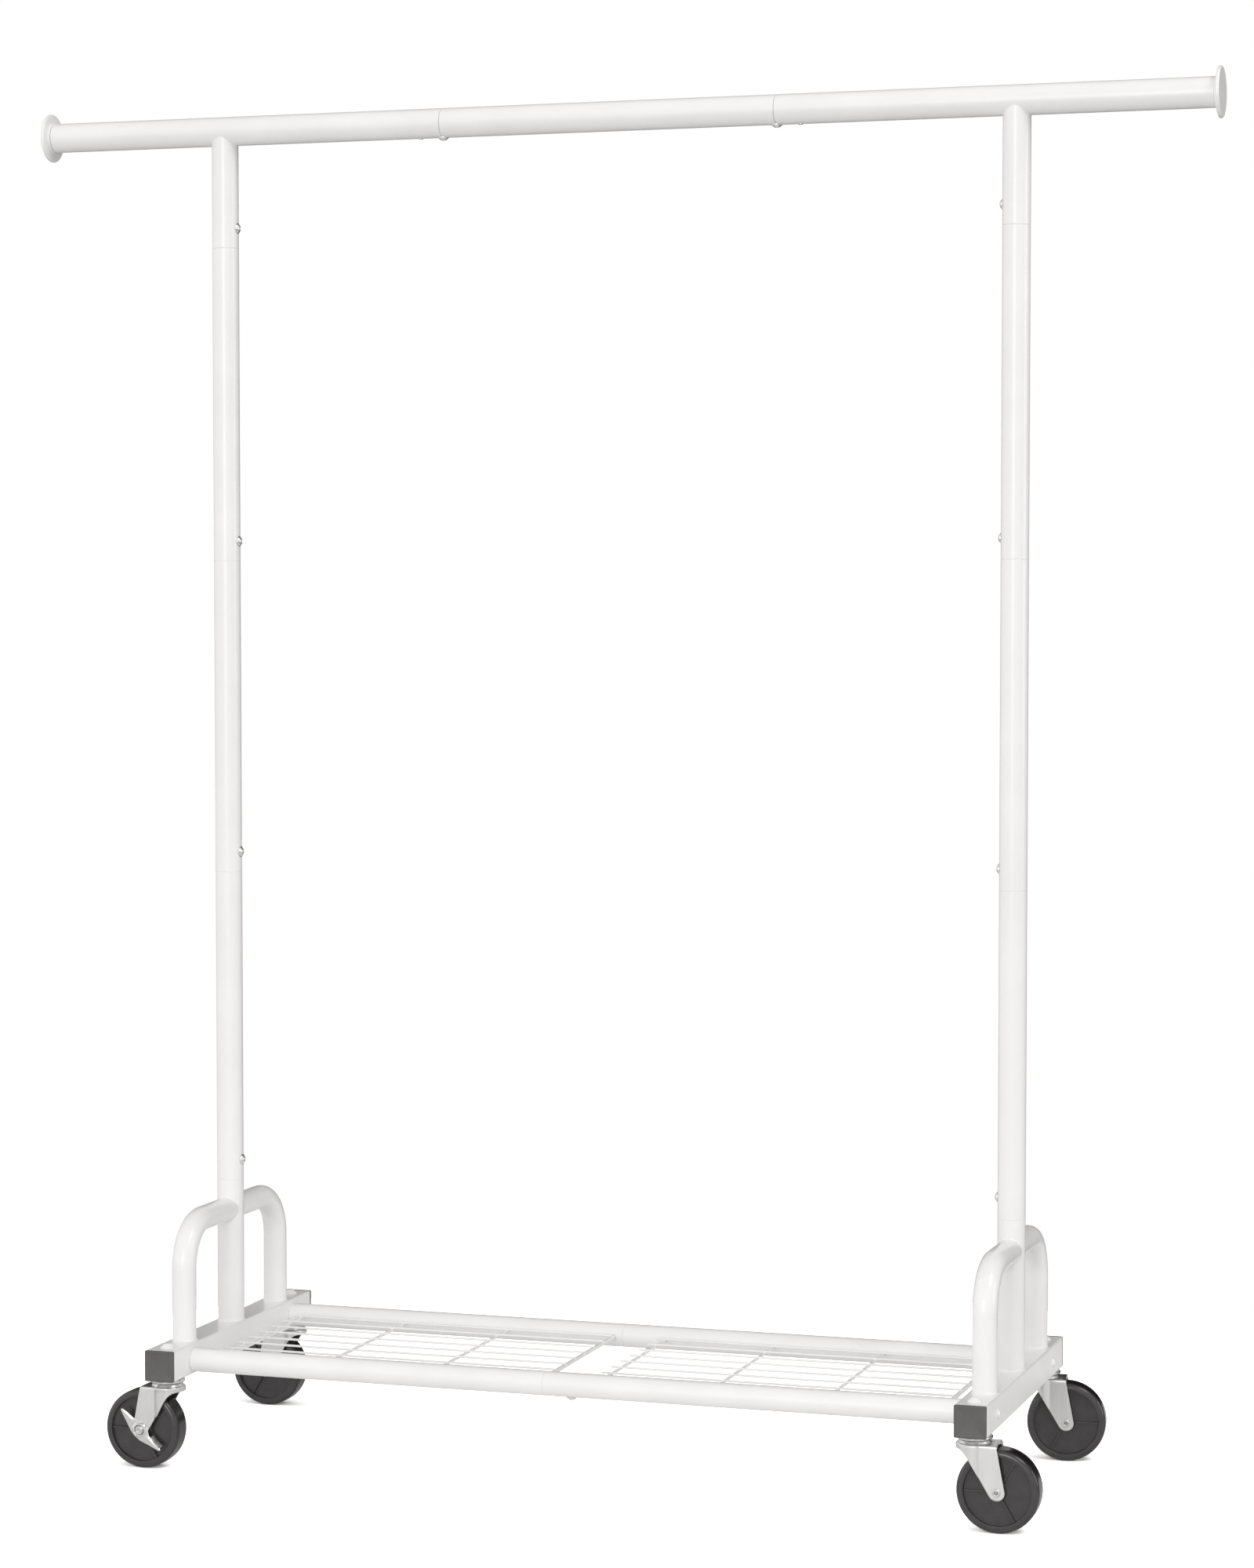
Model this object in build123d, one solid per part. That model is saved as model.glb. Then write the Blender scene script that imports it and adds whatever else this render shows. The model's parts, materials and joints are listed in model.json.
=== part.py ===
from build123d import *
import math
import os

# Rolling clothes rack: two posts on square base tubes, a hanging rail with end discs,
# a wire shelf between two low bars, and four swivel casters, two of them with brakes.
# Millimetres, +Z up, X along the rail, -Y is the front. The origin is on the floor,
# under the middle of the rack.

# Base frame: two square tubes that run front to back
BASE_SIZE = 40.0
BASE_WALL = 1.5
BASE_CORNER = 2.0
BASE_X = 531.5
BASE_BOTTOM = 116.2
BASE_TOP = BASE_BOTTOM + BASE_SIZE
BASE_HALF_DEPTH = 228.3
CAP_LIP = 4.5
CAP_PLUG_LENGTH = 16.0
CAP_PLUG_WALL = 2.0
CAP_EDGE = 1.4
CAP_CLEARANCE = 0.15

# Posts: a welded foot, three sections and a stub under the rail
POST_RADIUS = 17.5
TUBE_WALL = 1.5
POST_SECTION = 411.5
POST_FIRST_SEAM = 346.0
POST_SECTIONS = ("lower", "middle", "upper")
SPIGOT_LENGTH = 46.0
SPIGOT_CLEARANCE = 0.15
SWAGE_LENGTH = 8.0
JOINT_BOLT_ABOVE_SEAM = 26.3

# Rail: three sections on inner sleeves, and an end disc at each end
RAIL_RADIUS = 19.05
RAIL_Z = 1734.0
RAIL_HALF_LENGTH = 777.5
RAIL_SEAM_X = 224.0
SLEEVE_INWARD = 34.0
SLEEVE_OUTWARD = 46.0
SLEEVE_RIVET_X = 255.0
RIVET_RADIUS = 3.2
RIVET_PROUD = 0.9
DISC_RADIUS = 31.5
DISC_THICKNESS = 5.0
DISC_EDGE = 1.8
COLLAR_RADIUS = 20.6
COLLAR_LENGTH = 3.0
DISC_PLUG_LENGTH = 22.0
DISC_PLUG_WALL = 2.0

# Handles: bent tubes from the base tube up and in to the post
HANDLE_RADIUS = 15.5
HANDLE_Y = 149.0
HANDLE_Z = 307.0
HANDLE_BEND = 58.0

# Shelf: a front and a back bar, each in two pieces, and two wire panels
BAR_RADIUS = 15.5
BAR_Y = 163.0
BAR_Z = 134.5
BAR_SEAM_X = -29.0
BAR_BOLT_X = 6.0
BAR_INSERT_LENGTH = 18.0
CROSS_WIRE_RADIUS = 2.1
END_WIRE_RADIUS = 2.9
LONG_WIRE_RADIUS = 1.5
LONG_WIRE_PITCH = 38.5
LONG_WIRE_COUNT = 8
PANEL_STARTS = {"left": -487.5, "right": 33.5}
CROSS_PITCH = 149.2
CROSS_COUNT = 4
WIRE_STUB = 10.0
WIRE_Z = 135.2
WIRE_IN_BAR = 4.5
WIRE_WELD_SINK = 0.5
WIRE_HOLE_CLEARANCE = 0.2

# Fasteners
BOLT_HEAD_RADIUS = 6.5
BOLT_HEAD_HEIGHT = 3.8
BOLT_RADIUS = 3.0
BOLT_LENGTH = 14.0
NUT_RADIUS = 5.5
NUT_LENGTH = 8.0
HOLE_CLEARANCE = 0.3
JOINT_HOLE_DEPTH = 6.0
JOINT_NUT_DEPTH = 4.5
BAR_BOLT_RADIUS = 4.0
BAR_BOLT_LENGTH = 56.0

# Casters: 102 mm wheels in stamped forks on a threaded stem
CASTER_Y = 201.0
WHEEL_RADIUS = 51.1
WHEEL_WIDTH = 32.0
WHEEL_SHOULDER = 6.0
RECESS_RADIUS = 42.0
RECESS_DEPTH = 5.0
RECESS_DRAFT = 0.8
HUB_RADIUS = 10.5
HUB_DRAFT = 0.8
HUB_HALF_LENGTH = 17.9
RIB_WIDTH = 2.2
RIB_HEIGHT = 3.0
RIB_COUNT = 3
BUSHING_RADIUS = 6.5
BUSHING_HALF_LENGTH = 18.2
AXLE_RADIUS = 4.0
AXLE_HEAD_RADIUS = 5.4
AXLE_HEAD_HEIGHT = 1.6
AXLE_HEAD_EDGE = 0.7
AXLE_DIMPLE_RADIUS = 1.5
RUNNING_CLEARANCE = 0.06
PRESS_CLEARANCE = 0.03
TRAIL = 30.5
FORK_THICKNESS = 2.5
FORK_HALF_WIDTH = 21.0
FORK_NOSE_RADIUS = 23.0
FORK_TOP = 107.5
FORK_NOSE_BOTTOM = 101.0
FORK_END_RADIUS = 10.0
FORK_TAB_X = 30.2
# Hollow curve from the nose flange to the leg, as (x, z) points
FORK_GUSSET = ((-17.5, 101.0), (-10.0, 97.5), (-4.0, 89.5))
# Round leg end, as (x, z) from the axle: where it starts, its lowest part and its back
FORK_LEG_END = ((-8.6, -5.1), (1.5, -9.88), (9.85, 1.73))
RACEWAY_RADIUS = 21.5
RACEWAY_TOP = 111.2
RACEWAY_EDGE = 1.4
TOP_RACE_RADIUS = 22.5
TOP_RACE_BOTTOM = 112.4
TOP_RACE_EDGE = 1.2
BALL_RADIUS = 2.4
BALL_RING_RADIUS = 14.5
BALL_COUNT = 12
BALL_GAP = 0.3
STEM_RADIUS = 6.0
STEM_TOP = 159.2
KINGPIN_HEAD_RADIUS = 9.0
KINGPIN_HEAD_BOTTOM = 101.6
CAP_NUT_RADIUS = 9.3
CAP_NUT_HEIGHT = 5.4

# Brake lever on the left-hand side of a caster that faces its trailing wheel
LEVER_GAP = 0.3
LEVER_THICKNESS = 1.8
LEVER_BOSS_RADIUS = 8.6
LEVER_UPPER_TIP = (24.0, 26.0, 3.0)
LEVER_LOWER_TIP = (-34.0, -21.5, 4.2)
LEVER_FLANGE_DEPTH = 6.8
LEVER_FLANGE_START = (-15.0, -5.2)
LEVER_FLANGE_END = (-33.0, -17.6)

# Joined shapes run this far into each other, and cutters this far past what they cut
OVERLAP = 0.5
OVERCUT = 2.0

SIDES = {"left": -1, "right": 1}
ENDS = {"front": -1, "back": 1}
# Side and end of each caster, its heading in degrees from +X to its trailing wheel,
# how far its wheel is rolled round in degrees, and whether it has a brake
CASTERS = {
    "front_left": (-1, -1, 180.0, 0.0, True),
    "front_right": (1, -1, 1.5, 180.0, True),
    "back_left": (-1, 1, 178.5, 180.0, False),
    "back_right": (1, 1, 8.0, 0.0, False),
}


def tube(outer_radius, start, end, wall=TUBE_WALL):
    """Round tube along Z between two heights."""
    length = end - start
    ring = Cylinder(outer_radius, length) - Cylinder(outer_radius - wall, length)
    return Pos(0, 0, (start + end) / 2) * ring


def rod(radius, start, end):
    """Solid round bar along Z between two heights."""
    return Pos(0, 0, (start + end) / 2) * Cylinder(radius, end - start)


def along_x(shape):
    """Turn a shape that was made along +Z so that it runs along +X."""
    return Rot(0, 90, 0) * shape


def along_y(shape):
    """Turn a shape that was made along +Z so that it runs along +Y."""
    return Rot(-90, 0, 0) * shape


def domed_head(radius, height):
    """Low spherical dome on the plane z = 0."""
    sphere_radius = (radius**2 + height**2) / (2 * height)
    ball = Pos(0, 0, height - sphere_radius) * Sphere(sphere_radius)
    return ball & rod(radius + OVERCUT, 0, height + OVERCUT)


def spigot_tube(radius, start, end):
    """Tube from start to end with a narrower spigot beyond its far end."""
    spigot_radius = radius - TUBE_WALL - SPIGOT_CLEARANCE
    body = tube(radius, start, end)
    swage = tube(radius - TUBE_WALL, end - SWAGE_LENGTH, end, 2 * TUBE_WALL)
    spigot = tube(spigot_radius, end - SWAGE_LENGTH, end + SPIGOT_LENGTH)
    return body + swage + spigot


def joint_bolt():
    """Truss-head bolt that enters along -Z, its head resting on z = 0."""
    return domed_head(BOLT_HEAD_RADIUS, BOLT_HEAD_HEIGHT) + rod(BOLT_RADIUS, -BOLT_LENGTH, OVERLAP)


def joint_nut():
    """Rivet nut, its flange at z = 0 and its barrel along -Z."""
    return rod(NUT_RADIUS, -NUT_LENGTH, 0) - rod(BOLT_RADIUS + PRESS_CLEARANCE, -NUT_LENGTH, 0)


def joint_hole(depth):
    """Cutter for a joint bolt along -Z from just above z = 0."""
    return rod(BOLT_RADIUS + HOLE_CLEARANCE, -depth, OVERCUT)


def facing(point, direction):
    """Placement that turns +Z at the origin to a direction at a point."""
    return Location(Plane(origin=point, z_dir=direction))


def write(name, shape):
    """Write one node, as one solid or as a group of solids."""
    solids = shape.solids()
    body = solids[0] if len(solids) == 1 else Compound(children=list(solids))
    body.label = name
    export_step(body, f"parts/{name}.step")


# Places of the joint bolts: point on the tube's outside, and the way the head faces
POST_SEAMS = [POST_FIRST_SEAM + i * POST_SECTION for i in range(len(POST_SECTIONS) + 1)]
POST_BOLTS = [
    ((side * (BASE_X - POST_RADIUS), 0, seam + JOINT_BOLT_ABOVE_SEAM), (-side, 0, 0))
    for side in SIDES.values()
    for seam in POST_SEAMS
]
RAIL_BOLTS = [
    ((side * RAIL_SEAM_X, 0, RAIL_Z - RAIL_RADIUS), (0, 0, -1)) for side in SIDES.values()
]
BAR_JOINT_BOLTS = [
    ((BAR_BOLT_X, end * BAR_Y, BAR_Z - BAR_RADIUS), (0, 0, -1)) for end in ENDS.values()
]
JOINT_BOLTS = POST_BOLTS + RAIL_BOLTS + BAR_JOINT_BOLTS


def cut_bolt_holes(shape, bolts, depth=JOINT_HOLE_DEPTH):
    """Drill the near wall of a tube for each bolt."""
    for point, direction in bolts:
        shape = shape - facing(point, direction) * joint_hole(depth)
    return shape


def base_tube(side):
    """Square base tube, drilled for the caster stems and the shelf bar bolts."""
    half = BASE_HALF_DEPTH - CAP_LIP
    outer = RectangleRounded(BASE_SIZE, BASE_SIZE, BASE_CORNER)
    bore = BASE_SIZE - 2 * BASE_WALL
    inner = RectangleRounded(bore, bore, BASE_CORNER - BASE_WALL)
    shape = along_y(extrude(outer - inner, amount=half, both=True))
    shape = Pos(side * BASE_X, 0, BASE_BOTTOM + BASE_SIZE / 2) * shape
    for end in ENDS.values():
        stem_hole = rod(STEM_RADIUS + HOLE_CLEARANCE, BASE_BOTTOM - OVERCUT, BASE_TOP + OVERCUT)
        shape = shape - Pos(side * BASE_X, end * CASTER_Y, 0) * stem_hole
        bolt_hole = along_x(rod(BAR_BOLT_RADIUS + HOLE_CLEARANCE, -BASE_SIZE, BASE_SIZE))
        shape = shape - Pos(side * BASE_X, end * BAR_Y, BAR_Z) * bolt_hole
    return shape


def base_end_cap(side, end):
    """Square plug with a lip that covers the end of a base tube."""
    face = extrude(RectangleRounded(BASE_SIZE, BASE_SIZE, BASE_CORNER), amount=CAP_LIP)
    face = fillet(face.faces().sort_by(Axis.Z)[-1].edges(), CAP_EDGE)
    plug_size = BASE_SIZE - 2 * BASE_WALL - 2 * CAP_CLEARANCE
    plug_outer = RectangleRounded(plug_size, plug_size, BASE_CORNER - BASE_WALL)
    hollow = plug_size - 2 * CAP_PLUG_WALL
    plug_inner = Rectangle(hollow, hollow)
    plug = extrude(plug_outer - plug_inner, amount=-CAP_PLUG_LENGTH)
    place = Plane(
        origin=(side * BASE_X, end * (BASE_HALF_DEPTH - CAP_LIP), BASE_BOTTOM + BASE_SIZE / 2),
        x_dir=(1, 0, 0),
        z_dir=(0, end, 0),
    )
    return Location(place) * (face + plug)


def post_stub(side):
    """Foot of the post, welded on the base tube."""
    shape = Pos(side * BASE_X, 0, 0) * spigot_tube(POST_RADIUS, BASE_TOP, POST_SEAMS[0])
    return cut_bolt_holes(shape, POST_BOLTS)


def post_section(side, index):
    """One length of post, with the spigot for the next length."""
    shape = spigot_tube(POST_RADIUS, POST_SEAMS[index], POST_SEAMS[index + 1])
    return cut_bolt_holes(Pos(side * BASE_X, 0, 0) * shape, POST_BOLTS)


def rail_post_stub(side):
    """Top of the post, cut to a saddle and welded under the rail."""
    shape = Pos(side * BASE_X, 0, 0) * tube(POST_RADIUS, POST_SEAMS[-1], RAIL_Z)
    saddle = along_x(rod(RAIL_RADIUS, -RAIL_HALF_LENGTH, RAIL_HALF_LENGTH))
    return cut_bolt_holes(shape - Pos(0, 0, RAIL_Z) * saddle, POST_BOLTS)


def rivet_hole(side):
    """Cutter for the rivet that holds a joint sleeve in the rail."""
    drill = rod(RIVET_RADIUS, 0, RAIL_RADIUS + OVERCUT)
    return Pos(side * SLEEVE_RIVET_X, 0, RAIL_Z) * (Rot(180, 0, 0) * drill)


def rail_section(start, end, sides):
    """One length of the hanging rail, drilled for its joints."""
    shape = Pos(0, 0, RAIL_Z) * along_x(tube(RAIL_RADIUS, start, end))
    shape = cut_bolt_holes(shape, RAIL_BOLTS)
    for side in sides:
        shape = shape - rivet_hole(side)
    return shape


def rail_joint_sleeve(side):
    """Inner sleeve that joins two lengths of rail."""
    radius = RAIL_RADIUS - TUBE_WALL - SPIGOT_CLEARANCE
    shape = tube(radius, RAIL_SEAM_X - SLEEVE_INWARD, RAIL_SEAM_X + SLEEVE_OUTWARD)
    shape = Pos(0, 0, RAIL_Z) * (Rot(0, 90 * side, 0) * shape)
    return cut_bolt_holes(shape, RAIL_BOLTS) - rivet_hole(side)


def sleeve_rivet(side):
    """Low-headed rivet under the rail."""
    shank_top = RAIL_RADIUS - 2 * TUBE_WALL - SPIGOT_CLEARANCE
    shape = rod(RIVET_RADIUS, shank_top, RAIL_RADIUS)
    shape = shape + Pos(0, 0, RAIL_RADIUS) * domed_head(RIVET_RADIUS, RIVET_PROUD)
    return Pos(side * SLEEVE_RIVET_X, 0, RAIL_Z) * (Rot(180, 0, 0) * shape)


def rail_end_disc(side):
    """Round stop at the end of the rail, with a collar and a plug."""
    disc = fillet(Cylinder(DISC_RADIUS, DISC_THICKNESS).edges().filter_by(GeomType.CIRCLE), DISC_EDGE)
    disc = Pos(0, 0, DISC_THICKNESS / 2 + COLLAR_LENGTH) * disc
    collar = rod(COLLAR_RADIUS, 0, COLLAR_LENGTH + OVERLAP)
    plug_radius = RAIL_RADIUS - TUBE_WALL - SPIGOT_CLEARANCE
    plug = tube(plug_radius, -DISC_PLUG_LENGTH, OVERLAP, DISC_PLUG_WALL)
    return facing((side * RAIL_HALF_LENGTH, 0, RAIL_Z), (side, 0, 0)) * (disc + collar + plug)


def handle(side, end):
    """Bent tube from the base tube up and inwards to the post."""
    bend_y = HANDLE_Y - HANDLE_BEND
    bend_z = HANDLE_Z - HANDLE_BEND
    upright = Pos(0, HANDLE_Y, 0) * tube(HANDLE_RADIUS, BASE_TOP, bend_z)
    ring = Circle(HANDLE_RADIUS) - Circle(HANDLE_RADIUS - TUBE_WALL)
    elbow = revolve(Pos(0, HANDLE_Y, bend_z) * ring, Axis((0, bend_y, bend_z), (1, 0, 0)), 90)
    run = Pos(0, 0, HANDLE_Z) * along_y(tube(HANDLE_RADIUS, 0, bend_y))
    shape = upright + elbow + run
    shape = shape - rod(POST_RADIUS, BASE_TOP, RAIL_Z)
    shape = Rot(0, 0, 0 if end > 0 else 180) * shape
    return Pos(side * BASE_X, 0, 0) * shape


def wire_positions(panel):
    """X of each cross wire of a panel, the last one being the thick end wire."""
    return [PANEL_STARTS[panel] + i * CROSS_PITCH for i in range(CROSS_COUNT)]


def wire_radius(index):
    """Radius of a cross wire, by its place in the panel."""
    return END_WIRE_RADIUS if index == CROSS_COUNT - 1 else CROSS_WIRE_RADIUS


def shelf_bar(end, side):
    """Half of a shelf bar, drilled on its inner side for the cross wires."""
    reach = BASE_X - BASE_SIZE / 2
    if side < 0:
        shape = along_x(spigot_tube(BAR_RADIUS, -reach, BAR_SEAM_X))
    else:
        shape = along_x(tube(BAR_RADIUS, BAR_SEAM_X, reach))
    shape = cut_bolt_holes(Pos(0, end * BAR_Y, BAR_Z) * shape, BAR_JOINT_BOLTS)
    for panel in SIDES:
        for index, x in enumerate(wire_positions(panel)):
            drill = along_y(rod(wire_radius(index) + WIRE_HOLE_CLEARANCE, 0, BAR_Y))
            shape = shape - Pos(x, 0, WIRE_Z) * (Rot(0, 0, 0 if end > 0 else 180) * drill)
    return shape


def shelf_panel(panel):
    """Wire grid: cross wires into the bars, long wires welded on top of them."""
    places = wire_positions(panel)
    half = BAR_Y - BAR_RADIUS + WIRE_IN_BAR
    shapes = []
    for index, x in enumerate(places):
        shapes.append(Pos(x, 0, WIRE_Z) * along_y(rod(wire_radius(index), -half, half)))
    rise = CROSS_WIRE_RADIUS + LONG_WIRE_RADIUS - WIRE_WELD_SINK
    first = -LONG_WIRE_PITCH * (LONG_WIRE_COUNT - 1) / 2
    for index in range(LONG_WIRE_COUNT):
        wire = along_x(rod(LONG_WIRE_RADIUS, places[0] - WIRE_STUB, places[-1]))
        shapes.append(Pos(0, first + index * LONG_WIRE_PITCH, WIRE_Z + rise) * wire)
    grid = shapes[0]
    for shape in shapes[1:]:
        grid = grid + shape
    return grid


def shelf_bar_insert(side, end):
    """Threaded plug in the end of a shelf bar."""
    outer = BAR_RADIUS - TUBE_WALL - SPIGOT_CLEARANCE
    shape = tube(outer, 0, BAR_INSERT_LENGTH, outer - BAR_BOLT_RADIUS - PRESS_CLEARANCE)
    return facing((side * (BASE_X - BASE_SIZE / 2), end * BAR_Y, BAR_Z), (-side, 0, 0)) * shape


def shelf_bar_bolt(side, end):
    """Bolt through the base tube into the end of a shelf bar."""
    shank = rod(BAR_BOLT_RADIUS, -BAR_BOLT_LENGTH, OVERLAP)
    shape = domed_head(BOLT_HEAD_RADIUS, BOLT_HEAD_HEIGHT) + shank
    return facing((side * (BASE_X + BASE_SIZE / 2), end * BAR_Y, BAR_Z), (side, 0, 0)) * shape


def caster_place(name):
    """Placement of a caster: its swivel axis, with +X towards its trailing wheel."""
    side, end, heading, _, _ = CASTERS[name]
    return Pos(side * BASE_X, end * CASTER_Y, 0) * Rot(0, 0, heading)


def ball_track(clearance):
    """Ring-shaped groove for the bearing balls."""
    height = (RACEWAY_TOP + TOP_RACE_BOTTOM) / 2
    return Pos(0, 0, height) * Torus(BALL_RING_RADIUS, BALL_RADIUS + clearance)


def caster_stem():
    """Kingpin and threaded stem in one."""
    stem = rod(STEM_RADIUS, KINGPIN_HEAD_BOTTOM, STEM_TOP)
    head_top = FORK_TOP - FORK_THICKNESS - BALL_GAP
    return stem + rod(KINGPIN_HEAD_RADIUS, KINGPIN_HEAD_BOTTOM, head_top)


def caster_race():
    """Pressed upper race, clamped under the base tube."""
    ring = rod(TOP_RACE_RADIUS, TOP_RACE_BOTTOM, BASE_BOTTOM)
    ring = fillet(ring.faces().sort_by(Axis.Z)[0].edges(), TOP_RACE_EDGE)
    return ring - rod(STEM_RADIUS + PRESS_CLEARANCE, 0, BASE_TOP) - ball_track(PRESS_CLEARANCE)


def bearing_balls():
    """Ring of separate balls in the swivel bearing."""
    height = (RACEWAY_TOP + TOP_RACE_BOTTOM) / 2
    step = 2 * math.pi / BALL_COUNT
    return [
        Pos(BALL_RING_RADIUS * math.cos(i * step), BALL_RING_RADIUS * math.sin(i * step), height)
        * Sphere(BALL_RADIUS)
        for i in range(BALL_COUNT)
    ]


def cap_nut():
    """Domed nut on the end of the stem."""
    dome = Pos(0, 0, BASE_TOP) * domed_head(CAP_NUT_RADIUS, CAP_NUT_HEIGHT)
    return dome - rod(STEM_RADIUS + PRESS_CLEARANCE, BASE_TOP - OVERCUT, STEM_TOP)


def fork_plan(inset):
    """Plan of the fork: a round nose that runs into two straight legs."""
    nose = Circle(FORK_NOSE_RADIUS - inset)
    half_width = FORK_HALF_WIDTH - inset
    far = TRAIL + 2 * FORK_END_RADIUS
    legs = Pos(far / 2, 0) * Rectangle(far, 2 * half_width)
    return nose + legs


def fork_side_view():
    """Side view of the fork in the XZ plane, from nose flange to axle."""
    nose = -FORK_NOSE_RADIUS - OVERCUT
    touch, lowest, back = [(TRAIL + x, WHEEL_RADIUS + z) for x, z in FORK_LEG_END]
    with BuildSketch(Plane.XZ) as sketch:
        with BuildLine():
            Polyline((nose, FORK_TOP), (nose, FORK_NOSE_BOTTOM), FORK_GUSSET[0])
            ThreePointArc(*FORK_GUSSET)
            Line(FORK_GUSSET[-1], touch)
            ThreePointArc(touch, lowest, back)
            Polyline(back, (FORK_TAB_X, FORK_TOP), (nose, FORK_TOP))
        make_face()
    return extrude(sketch.sketch, amount=2 * FORK_NOSE_RADIUS, both=True)


def caster_fork():
    """Stamped fork: crown plate, nose flange and two tapered legs."""
    outer = extrude(fork_plan(0), amount=FORK_TOP)
    inner = extrude(fork_plan(FORK_THICKNESS), amount=FORK_TOP - FORK_THICKNESS)
    shell = (outer - inner) & fork_side_view()
    raceway = rod(RACEWAY_RADIUS, FORK_TOP - OVERLAP, RACEWAY_TOP)
    raceway = fillet(raceway.faces().sort_by(Axis.Z)[-1].edges(), RACEWAY_EDGE)
    shell = shell + raceway - ball_track(BALL_GAP)
    shell = shell - rod(STEM_RADIUS + RUNNING_CLEARANCE, 0, BASE_TOP)
    drill = along_y(rod(AXLE_RADIUS + PRESS_CLEARANCE, -BASE_SIZE, BASE_SIZE))
    return shell - Pos(TRAIL, 0, WHEEL_RADIUS) * drill


def caster_axle(braked):
    """Axle with a riveted head at each end, longer on the lever's side."""
    reach = FORK_HALF_WIDTH
    far = reach + (LEVER_GAP + LEVER_THICKNESS + LEVER_GAP if braked else 0)
    head = rod(AXLE_HEAD_RADIUS, 0, AXLE_HEAD_HEIGHT)
    head = fillet(head.faces().sort_by(Axis.Z)[-1].edges(), AXLE_HEAD_EDGE)
    head = head - Pos(0, 0, AXLE_HEAD_HEIGHT) * Sphere(AXLE_DIMPLE_RADIUS)
    shape = rod(AXLE_RADIUS, -reach, far) + Pos(0, 0, far) * head
    shape = shape + Pos(0, 0, -reach) * (Rot(180, 0, 0) * head)
    return Pos(TRAIL, 0, WHEEL_RADIUS) * along_y(shape)


def caster_wheel(rib_start):
    """Solid wheel with a crowned rim, recessed sides, three ribs and a hub."""
    half = WHEEL_WIDTH / 2
    web = half - RECESS_DEPTH
    rim_inner = RECESS_RADIUS - RECESS_DRAFT
    shoulder_cut = WHEEL_SHOULDER * (1 - math.sqrt(0.5))
    with BuildSketch(Plane.XZ) as profile:
        with BuildLine():
            Polyline(
                (0, HUB_HALF_LENGTH),
                (HUB_RADIUS, HUB_HALF_LENGTH),
                (HUB_RADIUS + HUB_DRAFT, web),
                (rim_inner, web),
                (RECESS_RADIUS, half),
                (WHEEL_RADIUS - WHEEL_SHOULDER, half),
            )
            ThreePointArc(
                (WHEEL_RADIUS - WHEEL_SHOULDER, half),
                (WHEEL_RADIUS - shoulder_cut, half - shoulder_cut),
                (WHEEL_RADIUS, half - WHEEL_SHOULDER),
            )
            Polyline(
                (WHEEL_RADIUS, half - WHEEL_SHOULDER),
                (WHEEL_RADIUS, 0),
                (0, 0),
                (0, HUB_HALF_LENGTH),
            )
        make_face()
    half_wheel = revolve(profile.sketch, Axis.Z, 360)
    rib_length = rim_inner + OVERLAP - HUB_RADIUS
    rib = Box(rib_length, RIB_WIDTH, RIB_HEIGHT + OVERLAP)
    rib = Pos(HUB_RADIUS + rib_length / 2, 0, web + (RIB_HEIGHT - OVERLAP) / 2) * rib
    for index in range(RIB_COUNT):
        half_wheel = half_wheel + Rot(0, 0, rib_start + index * 360 / RIB_COUNT) * rib
    wheel = half_wheel + mirror(half_wheel, Plane.XY)
    wheel = wheel - rod(BUSHING_RADIUS + PRESS_CLEARANCE, -WHEEL_WIDTH, WHEEL_WIDTH)
    return Pos(TRAIL, 0, WHEEL_RADIUS) * along_y(wheel)


def wheel_bushing():
    """Sleeve in the wheel's hub that turns on the axle."""
    wall = BUSHING_RADIUS - AXLE_RADIUS - RUNNING_CLEARANCE
    shape = tube(BUSHING_RADIUS, -BUSHING_HALF_LENGTH, BUSHING_HALF_LENGTH, wall)
    return Pos(TRAIL, 0, WHEEL_RADIUS) * along_y(shape)


def brake_lever():
    """Two-armed pressed lever that turns on the axle, with a folded foot."""
    upper_x, upper_z, upper_radius = LEVER_UPPER_TIP
    lower_x, lower_z, lower_radius = LEVER_LOWER_TIP
    tips = [(upper_x, upper_z, upper_radius), (lower_x, lower_z, lower_radius)]
    outline = Circle(LEVER_BOSS_RADIUS)
    for tip_x, tip_z, tip_radius in tips:
        circles = Circle(LEVER_BOSS_RADIUS).edges() + (Pos(tip_x, tip_z) * Circle(tip_radius)).edges()
        outline = outline + make_hull(circles)
    plate = extrude(outline, amount=LEVER_THICKNESS)
    start = Vector(*LEVER_FLANGE_START)
    run = Vector(*LEVER_FLANGE_END) - start
    angle = math.degrees(math.atan2(run.Y, run.X))
    middle = start + run * 0.5
    height = LEVER_FLANGE_DEPTH + LEVER_THICKNESS
    foot = Rot(0, 0, angle) * Box(run.length, LEVER_THICKNESS, height)
    foot = Pos(middle.X, middle.Y, LEVER_THICKNESS - height / 2) * foot
    shape = plate + foot - rod(AXLE_RADIUS + RUNNING_CLEARANCE, -height, height)
    # The sketch's X and Y are the fork's X and Z, and its +Z faces out along +Y
    place = Plane(
        origin=(TRAIL, FORK_HALF_WIDTH + LEVER_GAP, WHEEL_RADIUS), x_dir=(1, 0, 0), z_dir=(0, 1, 0)
    )
    return Location(place) * mirror(shape, Plane.XZ)


os.makedirs("parts", exist_ok=True)

for side_name, side in SIDES.items():
    write(f"base_tube_{side_name}", base_tube(side))
    write(f"post_stub_{side_name}", post_stub(side))
    write(f"rail_post_stub_{side_name}", rail_post_stub(side))
    write(f"rail_end_disc_{side_name}", rail_end_disc(side))
    write(f"shelf_panel_{side_name}", shelf_panel(side_name))
    for index, section in enumerate(POST_SECTIONS):
        write(f"post_{section}_{side_name}", post_section(side, index))
    for end_name, end in ENDS.items():
        write(f"base_end_cap_{end_name}_{side_name}", base_end_cap(side, end))
        write(f"handle_{end_name}_{side_name}", handle(side, end))
        write(f"shelf_bar_{end_name}_{side_name}", shelf_bar(end, side))

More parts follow.
